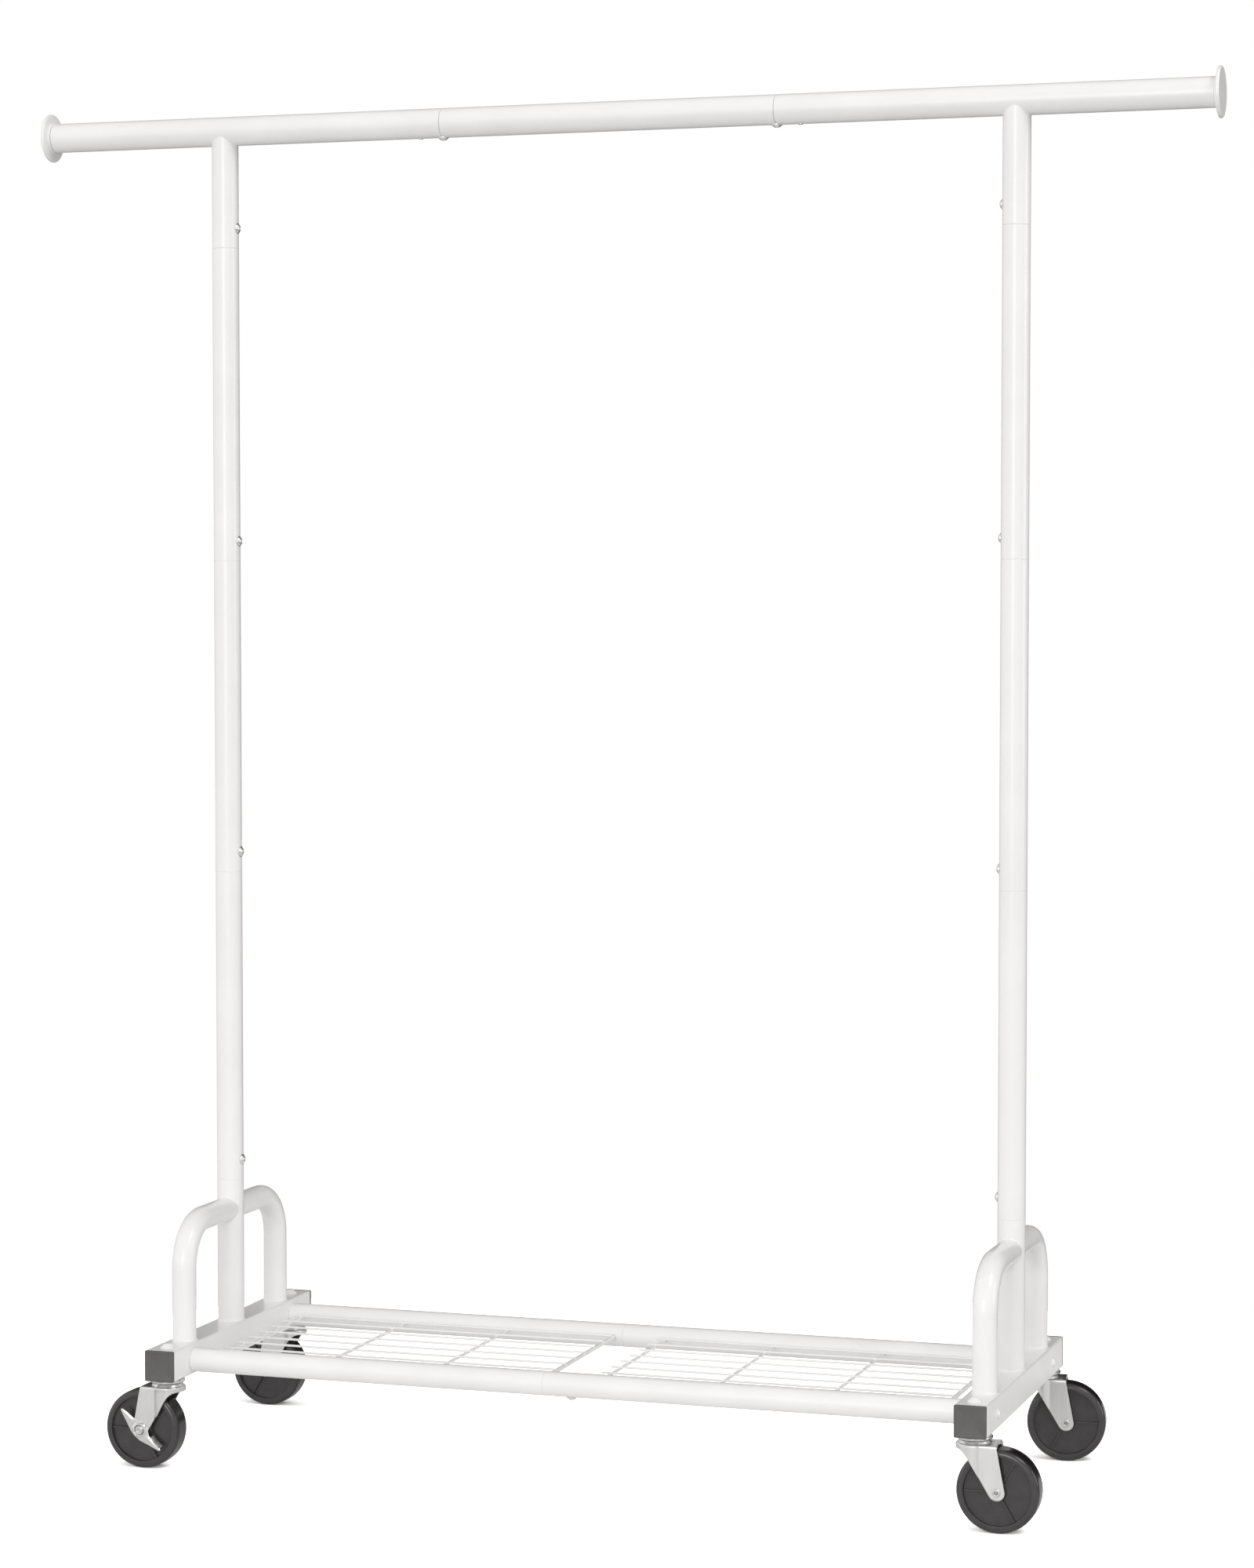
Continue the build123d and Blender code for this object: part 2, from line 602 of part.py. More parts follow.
write("rail_end_left", rail_section(-RAIL_HALF_LENGTH, -RAIL_SEAM_X, [-1]))
write("rail_centre", rail_section(-RAIL_SEAM_X, RAIL_SEAM_X, []))
write("rail_end_right", rail_section(RAIL_SEAM_X, RAIL_HALF_LENGTH, [1]))
write("rail_joint_sleeves", Compound(children=[rail_joint_sleeve(s) for s in SIDES.values()]))
write("rail_sleeve_rivets", Compound(children=[sleeve_rivet(s) for s in SIDES.values()]))

bolts = [facing(point, way) * joint_bolt() for point, way in JOINT_BOLTS]
write("tube_joint_bolts", Compound(children=bolts))
nuts = [facing(point, way) * (Pos(0, 0, -JOINT_NUT_DEPTH) * joint_nut()) for point, way in JOINT_BOLTS]
write("tube_joint_nuts", Compound(children=nuts))

corners = [(side, end) for side in SIDES.values() for end in ENDS.values()]
write("shelf_bar_bolts", Compound(children=[shelf_bar_bolt(*corner) for corner in corners]))
write("shelf_bar_inserts", Compound(children=[shelf_bar_insert(*corner) for corner in corners]))

places = {name: caster_place(name) for name in CASTERS}
write("caster_stems", Compound(children=[place * caster_stem() for place in places.values()]))
write("caster_races", Compound(children=[place * caster_race() for place in places.values()]))
write("caster_cap_nuts", Compound(children=[place * cap_nut() for place in places.values()]))
balls = [place * ball for place in places.values() for ball in bearing_balls()]
write("caster_balls", Compound(children=balls))

for name, place in places.items():
    _, _, _, rolled, braked = CASTERS[name]
    write(f"caster_fork_{name}", place * caster_fork())
    write(f"caster_axle_{name}", place * caster_axle(braked))
    write(f"caster_wheel_{name}", place * caster_wheel(rolled))
    write(f"wheel_bushing_{name}", place * wheel_bushing())
    if braked:
        write(f"brake_lever_{name}", place * brake_lever())
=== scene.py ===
"""Rolling clothes rack: the finished surfaces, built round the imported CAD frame."""

import json
import math

import bmesh
import bpy
import numpy as np
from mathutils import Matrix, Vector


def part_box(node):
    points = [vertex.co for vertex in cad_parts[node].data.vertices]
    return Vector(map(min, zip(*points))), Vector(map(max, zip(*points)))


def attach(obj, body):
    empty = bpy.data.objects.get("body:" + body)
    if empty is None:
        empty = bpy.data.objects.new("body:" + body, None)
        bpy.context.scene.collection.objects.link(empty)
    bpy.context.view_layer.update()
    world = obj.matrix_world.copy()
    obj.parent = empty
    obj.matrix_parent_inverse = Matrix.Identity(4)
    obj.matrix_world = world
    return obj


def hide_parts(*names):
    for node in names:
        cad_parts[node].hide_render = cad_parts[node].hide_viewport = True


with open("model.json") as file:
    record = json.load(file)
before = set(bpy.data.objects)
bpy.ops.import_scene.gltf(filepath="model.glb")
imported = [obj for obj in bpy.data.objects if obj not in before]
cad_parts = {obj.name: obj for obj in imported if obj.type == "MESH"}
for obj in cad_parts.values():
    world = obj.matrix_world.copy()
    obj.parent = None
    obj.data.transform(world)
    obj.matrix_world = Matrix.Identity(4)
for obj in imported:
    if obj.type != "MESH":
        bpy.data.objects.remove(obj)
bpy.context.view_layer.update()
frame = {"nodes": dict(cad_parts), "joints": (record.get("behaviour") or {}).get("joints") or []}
NODES = frame["nodes"]
JOINTS = {joint["name"]: joint for joint in frame["joints"]}

MM = 0.001
SIDES = {"left": -1, "right": 1}
ENDS = {"front": -1, "back": 1}
CASTERS = ("front_left", "front_right", "back_left", "back_right")
BRAKED = ("front_left", "front_right")
FRAME_BODY = "rack_frame"


# ---- camera, stage and light


def linear(code):
    """An sRGB hex colour as linear RGBA: the sRGB curve undone channel by channel."""
    value = np.array([int(code[i : i + 2], 16) for i in (1, 3, 5)]) / 255
    value = np.where(value <= 0.04045, value / 12.92, ((value + 0.055) / 1.055) ** 2.4)
    return (*value.tolist(), 1.0)


def add(tree, kind, links=None, **settings):
    """Adds one node. Settings are its properties; links give its inputs a value or a feeding socket."""
    made = tree.nodes.new(kind)
    for key, value in settings.items():
        setattr(made, key, value)
    for key, value in (links or {}).items():
        if isinstance(value, bpy.types.NodeSocket):
            tree.links.new(value, made.inputs[key])
        else:
            made.inputs[key].default_value = value
    return made


def add_camera():
    """Long lens at chest height, to the right of the rack's middle."""
    data = bpy.data.cameras.new("studio_camera")
    data.sensor_width = 36.0
    data.lens = 87.93
    data.clip_start = 0.1
    data.clip_end = 60.0
    camera = bpy.data.objects.new("studio_camera", data)
    camera.location = (1.5452, -4.6709, 1.131)
    camera.rotation_euler = (math.radians(87.1), 0.0, math.radians(18.02))
    bpy.context.scene.collection.objects.link(camera)
    bpy.context.scene.camera = camera


def add_light(name, way, distance, size, share, target=(0.0, 0.0, 0.8)):
    """Softbox in a direction from the rack. Its power is pi squared times the distance squared times the
    share of a white surface's brightness that it gives when it shines straight on."""
    data = bpy.data.lights.new(name, "AREA")
    data.shape = "RECTANGLE"
    data.size, data.size_y = size
    data.energy = share * (math.pi * distance) ** 2
    light = bpy.data.objects.new(name, data)
    way = unit(way)
    light.location = np.array(target) + way * distance
    light.rotation_euler = aim(-way)
    light.visible_camera = False
    bpy.context.scene.collection.objects.link(light)


def aim(direction):
    """Euler angles that turn -Z to a direction."""
    x, y, z = direction / np.linalg.norm(direction)
    return (math.acos(-z), 0.0, math.atan2(-x, y))


def add_world():
    """Surround that is brightest at the front left, dimmer below, and has a black flag behind the rack,
    which draws the dark edges on metal and rubber. The camera itself sees plain white."""
    world = bpy.data.worlds.new("studio_surround")
    bpy.context.scene.world = world
    world.use_nodes = True
    tree = world.node_tree
    tree.nodes.clear()
    way = add(tree, "ShaderNodeTexCoord").outputs["Generated"]

    def towards(direction, start, end, low, high):
        """Strength that follows how closely a ray points in a direction."""
        dot = add(tree, "ShaderNodeVectorMath", {0: way, 1: direction}, operation="DOT_PRODUCT")
        ends = {"From Min": start, "From Max": end, "To Min": low, "To Max": high}
        ends["Value"] = dot.outputs["Value"]
        return add(tree, "ShaderNodeMapRange", ends, interpolation_type="SMOOTHSTEP").outputs["Result"]

    strength = towards((-0.60, -0.80, 0.0), -1.0, 1.0, 0.46, 1.18)
    for factor in (
        towards((0.0, 0.0, 1.0), -0.35, 0.15, 0.50, 1.0),
        towards((0.0, 0.0, 1.0), 0.2, 1.0, 1.0, 0.55),
        towards((-0.10, 0.97, 0.22), 0.55, 0.98, 1.0, 0.03),
    ):
        strength = add(tree, "ShaderNodeMath", {0: strength, 1: factor}, operation="MULTIPLY").outputs[0]
    lit = add(tree, "ShaderNodeBackground", {"Color": linear("#FFFDFC"), "Strength": strength})
    seen = add(tree, "ShaderNodeBackground", {"Color": (1.0, 1.0, 1.0, 1.0), "Strength": 1.0})
    path = add(tree, "ShaderNodeLightPath")
    links = {"Fac": path.outputs["Is Camera Ray"], 1: lit.outputs[0], 2: seen.outputs[0]}
    mix = add(tree, "ShaderNodeMixShader", links)
    add(tree, "ShaderNodeOutputWorld", {"Surface": mix.outputs[0]})


# ---- surfaces


def unit(vectors):
    """Vectors scaled to length one along their last axis."""
    vectors = np.asarray(vectors, float)
    return vectors / np.maximum(np.linalg.norm(vectors, axis=-1, keepdims=True), 1e-12)


def quads(rows, columns, wrap_rows, wrap_columns):
    """Faces of a grid whose points are numbered row by row: each joins a point to its next row and column."""
    i = np.arange(rows if wrap_rows else rows - 1)
    j = np.arange(columns if wrap_columns else columns - 1)
    a, b = np.meshgrid(i, j, indexing="ij")
    c, d = (a + 1) % rows, (b + 1) % columns
    corners = (a * columns + b, a * columns + d, c * columns + d, c * columns + b)
    return np.stack(corners, -1).reshape(-1, 4)


def piece(name, sheets, material, body, replaces=(), sharp=38.0):
    """Makes one object from grids of points in millimetres, each given with its two wrap flags.
    Doubled points are merged, which closes seams and poles, and the faces are turned outwards."""
    points, faces, first = [], [], 0
    for grid, wrap_rows, wrap_columns in sheets:
        grid = np.asarray(grid, float)
        faces.append(quads(grid.shape[0], grid.shape[1], wrap_rows, wrap_columns) + first)
        points.append(grid.reshape(-1, 3))
        first += grid.shape[0] * grid.shape[1]
    mesh = bpy.data.meshes.new(name)
    mesh.from_pydata((np.concatenate(points) * MM).tolist(), [], np.concatenate(faces).tolist())
    shaped = bmesh.new()
    shaped.from_mesh(mesh)
    bmesh.ops.remove_doubles(shaped, verts=shaped.verts, dist=2e-6)
    bmesh.ops.dissolve_degenerate(shaped, edges=shaped.edges, dist=1e-7)
    bmesh.ops.recalc_face_normals(shaped, faces=shaped.faces)
    shaped.to_mesh(mesh)
    shaped.free()
    mesh.shade_smooth()
    mesh.set_sharp_from_angle(angle=math.radians(sharp))
    made = bpy.data.objects.new(name, mesh)
    bpy.context.scene.collection.objects.link(made)
    mesh.materials.append(material)
    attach(made, body)
    if replaces:
        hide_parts(*replaces)
    return made


def thicken(made, thickness, offset):
    """Gives an open sheet a wall: inside it with the offset -1, half on each side with 0."""
    wall = made.modifiers.new("wall", "SOLIDIFY")
    wall.thickness = thickness * MM
    wall.offset = offset
    wall.use_even_offset = False


def rounded(corners, radii, steps=6):
    """Closed outline with rounded corners: each corner becomes a circular arc, written as a rational
    quadratic curve between its two tangent points. A point on the straight just beyond each end of
    the arc keeps the flat beside it flat in the shading."""
    corner = np.asarray(corners, float)
    before = unit(np.roll(corner, 1, 0) - corner)
    after = unit(np.roll(corner, -1, 0) - corner)
    half = np.arccos(np.clip((before * after).sum(-1), -1, 1)) / 2
    cut = (np.asarray(radii, float) / np.tan(half))[:, None]
    start, end = corner + before * cut, corner + after * cut
    s = np.linspace(0, 1, steps)[None, :, None]
    weight = np.sin(half)[:, None, None]
    parts = ((1 - s) ** 2, 2 * weight * s * (1 - s), s**2)
    curve = parts[0] * start[:, None] + parts[1] * corner[:, None] + parts[2] * end[:, None]
    straight = np.linalg.norm(np.roll(start, -1, 0) - end, axis=-1, keepdims=True)
    hold = np.minimum(straight / 3, 1.0)
    first, last = start + before * np.roll(hold, 1, 0), end + after * hold
    return np.concatenate([first[:, None], curve / sum(parts), last[:, None]], 1).reshape(-1, 2)


def across(axis):
    """Two directions at right angles to an axis and to each other, after the axis itself."""
    axis = unit(axis)
    side = unit(np.cross(axis, (1.0, 0.0, 0.0) if abs(axis[2]) > 0.9 else (0.0, 0.0, 1.0)))
    return axis, side, np.cross(axis, side)


def turned(heights, radii, origin, axis, count=64):
    """Surface of revolution: the point (h, r, t) lies h along the axis and r out from it at the angle t.
    Heights and radii are one value a row, or one a row and angle."""
    axis, side, other = across(axis)
    angle = np.linspace(0, 2 * math.pi, count, endpoint=False)[:, None]
    ring = np.cos(angle) * side + np.sin(angle) * other
    heights, radii = np.asarray(heights, float), np.asarray(radii, float)
    if heights.ndim == 1:
        heights = heights[:, None]
    if radii.ndim == 1:
        radii = radii[:, None]
    return np.asarray(origin, float) + heights[..., None] * axis + radii[..., None] * ring


def turned_outline(outline, origin, axis, count=64):
    """A turned shape from an outline of (height, radius) points."""
    outline = np.asarray(outline, float)
    return turned(outline[:, 0], outline[:, 1], origin, axis, count)


def square_outline(half, corner, steps=7):
    """Closed square outline of a half width with rounded corners."""
    half, corner = max(half, 1e-4), min(corner, half * 0.999)
    points = [(half, -half), (half, half), (-half, half), (-half, -half)]
    return rounded(points, [corner] * 4, steps)


def box_of(node):
    """Lowest corner, highest corner and middle of a CAD node, in millimetres."""
    low, high = (np.array(corner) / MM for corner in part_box(node))
    return low, high, (low + high) / 2


def solids_of(node, gap=30.0):
    """Boxes of a CAD node's separate solids: its points are split wherever an axis has a wide empty gap."""
    mesh = NODES[node].data
    points = np.zeros(len(mesh.vertices) * 3)
    mesh.vertices.foreach_get("co", points)
    waiting, found = [points.reshape(-1, 3) / MM], []
    while waiting:
        group = waiting.pop()
        for axis in range(3):
            order = group[group[:, axis].argsort()]
            cuts = np.flatnonzero(np.diff(order[:, axis]) > gap) + 1
            if len(cuts):
                waiting += np.split(order, cuts)
                break
        else:
            found.append((group.min(0), group.max(0)))
    return sorted(found, key=lambda pair: tuple(pair[0].round(1)))


# ---- materials


def finish_material(name):
    """Empty node material with its shader, and the object coordinates that its patterns read."""
    material = bpy.data.materials.new(name)
    material.use_nodes = True
    tree = material.node_tree
    tree.nodes.clear()
    shader = add(tree, "ShaderNodeBsdfPrincipled")
    add(tree, "ShaderNodeOutputMaterial", {"Surface": shader.outputs[0]})
    place = add(tree, "ShaderNodeTexCoord").outputs["Object"]
    return material, tree, shader, place


def grain(tree, place, size_mm, detail=2.0, stretch=(1.0, 1.0, 1.0), rough=0.5):
    """Noise whose cells are about a real size: the scale is one over that size in metres."""
    laid = add(tree, "ShaderNodeMapping", {"Vector": place, "Scale": stretch})
    noise = add(
        tree,
        "ShaderNodeTexNoise",
        {"Vector": laid.outputs[0], "Scale": 1.0 / (size_mm * MM), "Detail": detail, "Roughness": rough},
    )
    return noise.outputs[0]


def spread(tree, value, low, high, start=0.3, end=0.7):
    """A noise value carried from its usual range to another range."""
    links = {"Value": value, "From Min": start, "From Max": end, "To Min": low, "To Max": high}
    return add(tree, "ShaderNodeMapRange", links).outputs["Result"]


def blend(tree, value, first, second):
    """Two colours mixed by a value."""
    mixed = add(tree, "ShaderNodeMix", {"Factor": value}, data_type="RGBA")
    mixed.inputs["A"].default_value = linear(first)
    mixed.inputs["B"].default_value = linear(second)
    return mixed.outputs["Result"]


def relief(tree, shader, height, depth_mm, strength=1.0):
    """Bump of a real depth on the shader."""
    links = {"Height": height, "Distance": depth_mm * MM, "Strength": strength}
    bump = add(tree, "ShaderNodeBump", links)
    tree.links.new(bump.outputs[0], shader.inputs["Normal"])


def white_powder_coat():
    """Polyester powder sprayed on steel tube and baked. It levels to a satin skin, so highlights are
    soft, and the white drifts by a shade along a tube. Its orange peel is too fine to draw."""
    material, tree, shader, place = finish_material("powder_coated_steel_white")
    shader.inputs["IOR"].default_value = 1.5
    drift = grain(tree, place, 90.0, 3.0)
    tree.links.new(blend(tree, spread(tree, drift, 0, 1), "#F5F4F3", "#F0EFEE"), shader.inputs["Base Color"])
    shader.inputs["Roughness"].default_value = 0.27
    return material


def white_moulded_plastic():
    """Injection-moulded polypropylene, a little duller and colder than the powder coat beside it."""
    material, tree, shader, place = finish_material("moulded_polypropylene_white")
    shader.inputs["IOR"].default_value = 1.49
    drift = grain(tree, place, 30.0, 2.0)
    tree.links.new(blend(tree, spread(tree, drift, 0, 1), "#F6F5F5", "#F1F1F0"), shader.inputs["Base Color"])
    shader.inputs["Roughness"].default_value = 0.30
    return material


def grey_moulded_plastic():
    """Moulded polyethylene plug with a spark-eroded skin: flat warm grey and matt. Its grain is really
    0.3 mm and drawn at 1.2 mm so that it shows."""
    material, tree, shader, place = finish_material("moulded_polyethylene_grey")
    shader.inputs["IOR"].default_value = 1.5
    drift = grain(tree, place, 18.0, 3.0)
    tree.links.new(blend(tree, spread(tree, drift, 0, 1), "#5E5C5A", "#585654"), shader.inputs["Base Color"])
    tree.links.new(spread(tree, grain(tree, place, 3.0), 0.46, 0.62), shader.inputs["Roughness"])
    relief(tree, shader, grain(tree, place, 1.2, 1.0), 0.01, 0.2)
    return material


def wheel_moulded_rubber():
    """Hard thermoplastic rubber moulded in one piece: charcoal, semi-matt, with faint flow marks from
    the mould. The tread is coloured darker: painted shade for the dark reflection that the tread shows."""
    material, tree, shader, place = finish_material("moulded_hard_rubber_charcoal")
    shader.inputs["IOR"].default_value = 1.51
    flow = grain(tree, place, 16.0, 4.0)
    side = blend(tree, spread(tree, flow, 0, 1), "#424041", "#3A3839")
    tread = add(tree, "ShaderNodeAttribute", attribute_name="tread").outputs["Fac"]
    mixed = add(tree, "ShaderNodeMix", {"Factor": tread}, data_type="RGBA")
    tree.links.new(side, mixed.inputs["A"])
    # painted shade: the tread's near-black colour stands in for the dark reflection on the tread
    mixed.inputs["B"].default_value = linear("#1B1A1A")
    tree.links.new(mixed.outputs["Result"], shader.inputs["Base Color"])
    tree.links.new(spread(tree, grain(tree, place, 7.0, 3.0), 0.17, 0.22), shader.inputs["Roughness"])
    return material


def bright_zinc(name, light, dark, rough, stretch):
    """Steel, shaped and then plated: a pale grey mirror, dulled evenly by the bath, with soft cloudy
    streaks that follow the metal's grain."""
    material, tree, shader, place = finish_material(name)
    shader.inputs["Metallic"].default_value = 1.0
    lines = grain(tree, place, 9.0, 3.0, stretch)
    tree.links.new(blend(tree, spread(tree, lines, 0, 1), light, dark), shader.inputs["Base Color"])
    shader.inputs["Roughness"].default_value = rough
    return material


POWDER = white_powder_coat()
PLASTIC_WHITE = white_moulded_plastic()
PLASTIC_GREY = grey_moulded_plastic()
RUBBER = wheel_moulded_rubber()
ZINC_FORK = bright_zinc("pressed_steel_zinc_plated", "#E6E6E5", "#DEDEDD", 0.30, (1.0, 1.0, 0.15))
ZINC_LEVER = bright_zinc("pressed_lever_steel_zinc_plated", "#E9E8E6", "#E0DFDD", 0.22, (0.2, 1.0, 1.0))
# painted shade: the foot's zinc is coloured far darker than the lever's, for the shadow the foot sits in
ZINC_FOOT_SHADED = bright_zinc("shaded_knurled_steel_zinc_plated", "#A3A19F", "#7C7A78", 0.38, (1.0, 1.0, 1.0))
ZINC_SMALL = bright_zinc("turned_steel_zinc_plated", "#E2E2E1", "#D0D0CF", 0.22, (1.0, 1.0, 1.0))
BOLT_BRIGHT = bright_zinc("forged_bolt_nickel_plated", "#F4F4F3", "#ECECEB", 0.34, (1.0, 1.0, 1.0))
BEARING = bright_zinc("ground_bearing_steel", "#C6C6C6", "#B4B4B4", 0.14, (1.0, 1.0, 1.0))

# CAD nodes that stay as they are
KEPT_NODES = ["rail_joint_sleeves", "tube_joint_nuts", "shelf_bar_inserts", "caster_stems"]
KEPT_NODES = dict.fromkeys(KEPT_NODES + [f"wheel_bushing_{name}" for name in CASTERS], ZINC_SMALL)
KEPT_NODES["caster_balls"] = BEARING


# ---- frame tubes

WALL = 1.5
# Rounding of a tube's sheared end: rail and bars, and the tighter post joints
LIP = 0.9
POST_LIP = 0.5
RAIL_SEAM_HALF = 0.2
WELD_LEG = 2.6
POST_WELD_LEG = 2.4
RAIL_WELD_LEG = 0.8
HANDLE_WELD_LEG = 1.9
HANDLE_BEND = 58.0
BASE_HALF = 20.0
BASE_CORNER = 2.0
DISC_THICKNESS = 5.0
DISC_COLLAR = 3.0
DISC_COLLAR_RADIUS = 20.6


def tube_wall(start, end, radius, origin, axis, wall=WALL, lip=LIP, count=72):
    """Tube as a closed wall: a rectangle of (height, radius) with rounded outer lips, turned on the axis."""
    outline = [(start, radius - wall), (start, radius), (end, radius), (end, radius - wall)]
    return turned_outline(rounded(outline, [0.2, lip, lip, 0.2]), origin, axis, count), True, True


def tube_piece(name, sheet):
    """Powder-coated tube of the frame that replaces the CAD node of its name."""
    piece(f"{name}_tube", [sheet], POWDER, FRAME_BODY, [name])


def weld_bead(origin, axis, radius, parent, leg=WELD_LEG, count=120, ripples=26, seed=0.0):
    """Fillet weld round a tube. At each angle a hollow arc runs from the tube's side to the parent's
    surface; parent(a, b) gives how far along the axis that surface lies at the sideways offsets a, b.
    The leg swells and shrinks with the angle as a bead does."""
    axis, side, other = across(axis)
    angle = np.linspace(0, 2 * math.pi, count, endpoint=False)
    wander = 0.10 * np.sin(ripples * angle + seed) + 0.12 * np.sin(3 * angle + 2 * seed)
    size = leg * (1.0 + wander)

    def at(reach, lift):
        a, b = reach * np.cos(angle), reach * np.sin(angle)
        along = parent(a, b) + lift
        return np.asarray(origin, float) + a[:, None] * side + b[:, None] * other + along[:, None] * axis

    top, foot = at(radius + 0 * size, size), at(radius + size, 0 * size)
    inner = at(radius - 0.8 + 0 * size, 0 * size - 0.8)
    corner = at(radius + 0.25 * size, 0.25 * size)
    s = np.linspace(0, 1, 8)[:, None, None]
    arc = (1 - s) ** 2 * top + 2 * s * (1 - s) * corner + s**2 * foot
    return np.concatenate([arc, inner[None]]), True, True


def base_top_height(_, b, half=BASE_HALF, corner=BASE_CORNER):
    """Height of the base tube's upper skin over its top, at b across the tube: flat, then a round corner."""
    over = np.clip(np.abs(b) - (half - corner), 0, corner * 0.97)
    return -(corner - np.sqrt(corner**2 - over**2))


def make_posts():
    """Foot, three sections and top stub of each post, each a tube with rounded lips at its seams."""
    for side in SIDES:
        foot_low, foot_high, middle = box_of(f"post_stub_{side}")
        radius = (foot_high[0] - foot_low[0]) / 2
        origin = (middle[0], 0.0, 0.0)
        names = [f"post_{part}_{side}" for part in ("stub", "lower", "middle", "upper")]
        starts = [box_of(name)[0][2] for name in names]
        rail_low, rail_high, rail_middle = box_of("rail_centre")
        stub_low = box_of(f"rail_post_stub_{side}")[0][2]
        for name, start, end in zip(names, starts, starts[1:] + [stub_low]):
            sheet = tube_wall(start, end, radius, origin, (0, 0, 1), lip=POST_LIP)
            tube_piece(name, sheet)
        rail_radius = (rail_high[2] - rail_low[2]) / 2
        name = f"rail_post_stub_{side}"
        sheet = saddle_stub(origin, radius, stub_low, rail_middle[2], rail_radius)
        tube_piece(name, sheet)

        def under_rail(a, _, reach=rail_radius):
            """Distance down from the rail's axis to its underside, a across the rail."""
            return np.sqrt(np.maximum(reach**2 - a**2, 0.6**2))

        rail_point, foot_point = (middle[0], 0.0, rail_middle[2]), (middle[0], 0.0, foot_low[2])
        bead = weld_bead(rail_point, (0, 0, -1), radius, under_rail, RAIL_WELD_LEG, ripples=22)
        foot = weld_bead(foot_point, (0, 0, 1), radius, base_top_height, POST_WELD_LEG)
        piece(f"post_welds_{side}", [bead, foot], POWDER, FRAME_BODY, sharp=60)


def saddle_stub(origin, radius, start, rail_z, rail_radius, count=96):
    """Tube whose top follows the rail: at the angle t its top is the height of the rail's underside at
    the distance radius cos t across the rail."""
    middle = (start + rail_z) / 2
    outline = [(start, radius - WALL), (start, radius), (rail_z, radius), (rail_z, radius - WALL)]
    outline = rounded(outline, [0.2, LIP, 0.0, 0.0])
    level, reach = outline[:, 0][:, None], outline[:, 1][:, None]
    angle = np.linspace(0, 2 * math.pi, count, endpoint=False)[None]
    top = rail_z - np.sqrt(rail_radius**2 - (reach * np.cos(angle)) ** 2) + 0.4
    height = np.where(level > middle, top - (rail_z - level), level)
    x, y = reach * np.sin(angle), reach * np.cos(angle)
    return np.asarray(origin, float) + np.stack([x, y, height], -1), True, True


def make_rail():
    """Three lengths of rail, two end discs with their collars, and the small joint rivets."""
    low, high, middle = box_of("rail_centre")
    radius = (high[2] - low[2]) / 2
    origin = (0.0, 0.0, middle[2])
    for name in ("rail_end_left", "rail_centre", "rail_end_right"):
        start, end, _ = box_of(name)
        span = start[0] + RAIL_SEAM_HALF, end[0] - RAIL_SEAM_HALF
        sheet = tube_wall(*span, radius, origin, (1, 0, 0))
        tube_piece(name, sheet)
    for side, sign in SIDES.items():
        name = f"rail_end_disc_{side}"
        low, high, _ = box_of(name)
        outer = high[0] if sign > 0 else -low[0]
        rim = (high[2] - low[2]) / 2
        back = outer - DISC_THICKNESS
        outline = [
            (back - DISC_COLLAR, 0.0),
            (back - DISC_COLLAR, DISC_COLLAR_RADIUS),
            (back, DISC_COLLAR_RADIUS),
            (back, rim),
            (outer, rim),
            (outer - 0.35, rim - 4.5),
            (outer - 0.35, 0.0),
        ]
        outline = rounded(outline, [0.0, 0.5, 0.8, 2.0, 2.0, 1.5, 0.0], 8)
        sheet = turned_outline(outline, (0.0, 0.0, middle[2]), (sign, 0, 0), 96), True, True
        piece(f"{name}_moulding", [sheet], PLASTIC_WHITE, FRAME_BODY, [name])
    heads = []
    for low, high in solids_of("rail_sleeve_rivets"):
        centre = (low + high) / 2
        outline = [(-1.5, 0.0), (-1.5, 3.1), (0.35, 3.1), (0.9, 1.6), (0.45, 1.1), (0.45, 0.0)]
        outline = rounded(outline, [0, 0.1, 0.4, 0.3, 0.1, 0], 4)
        seat = (centre[0], 0.0, low[2] + 0.9)
        heads.append((turned_outline(outline, seat, (0, 0, -1), 28), True, True))
    piece("rail_rivet_heads", heads, ZINC_SMALL, FRAME_BODY, ["rail_sleeve_rivets"])


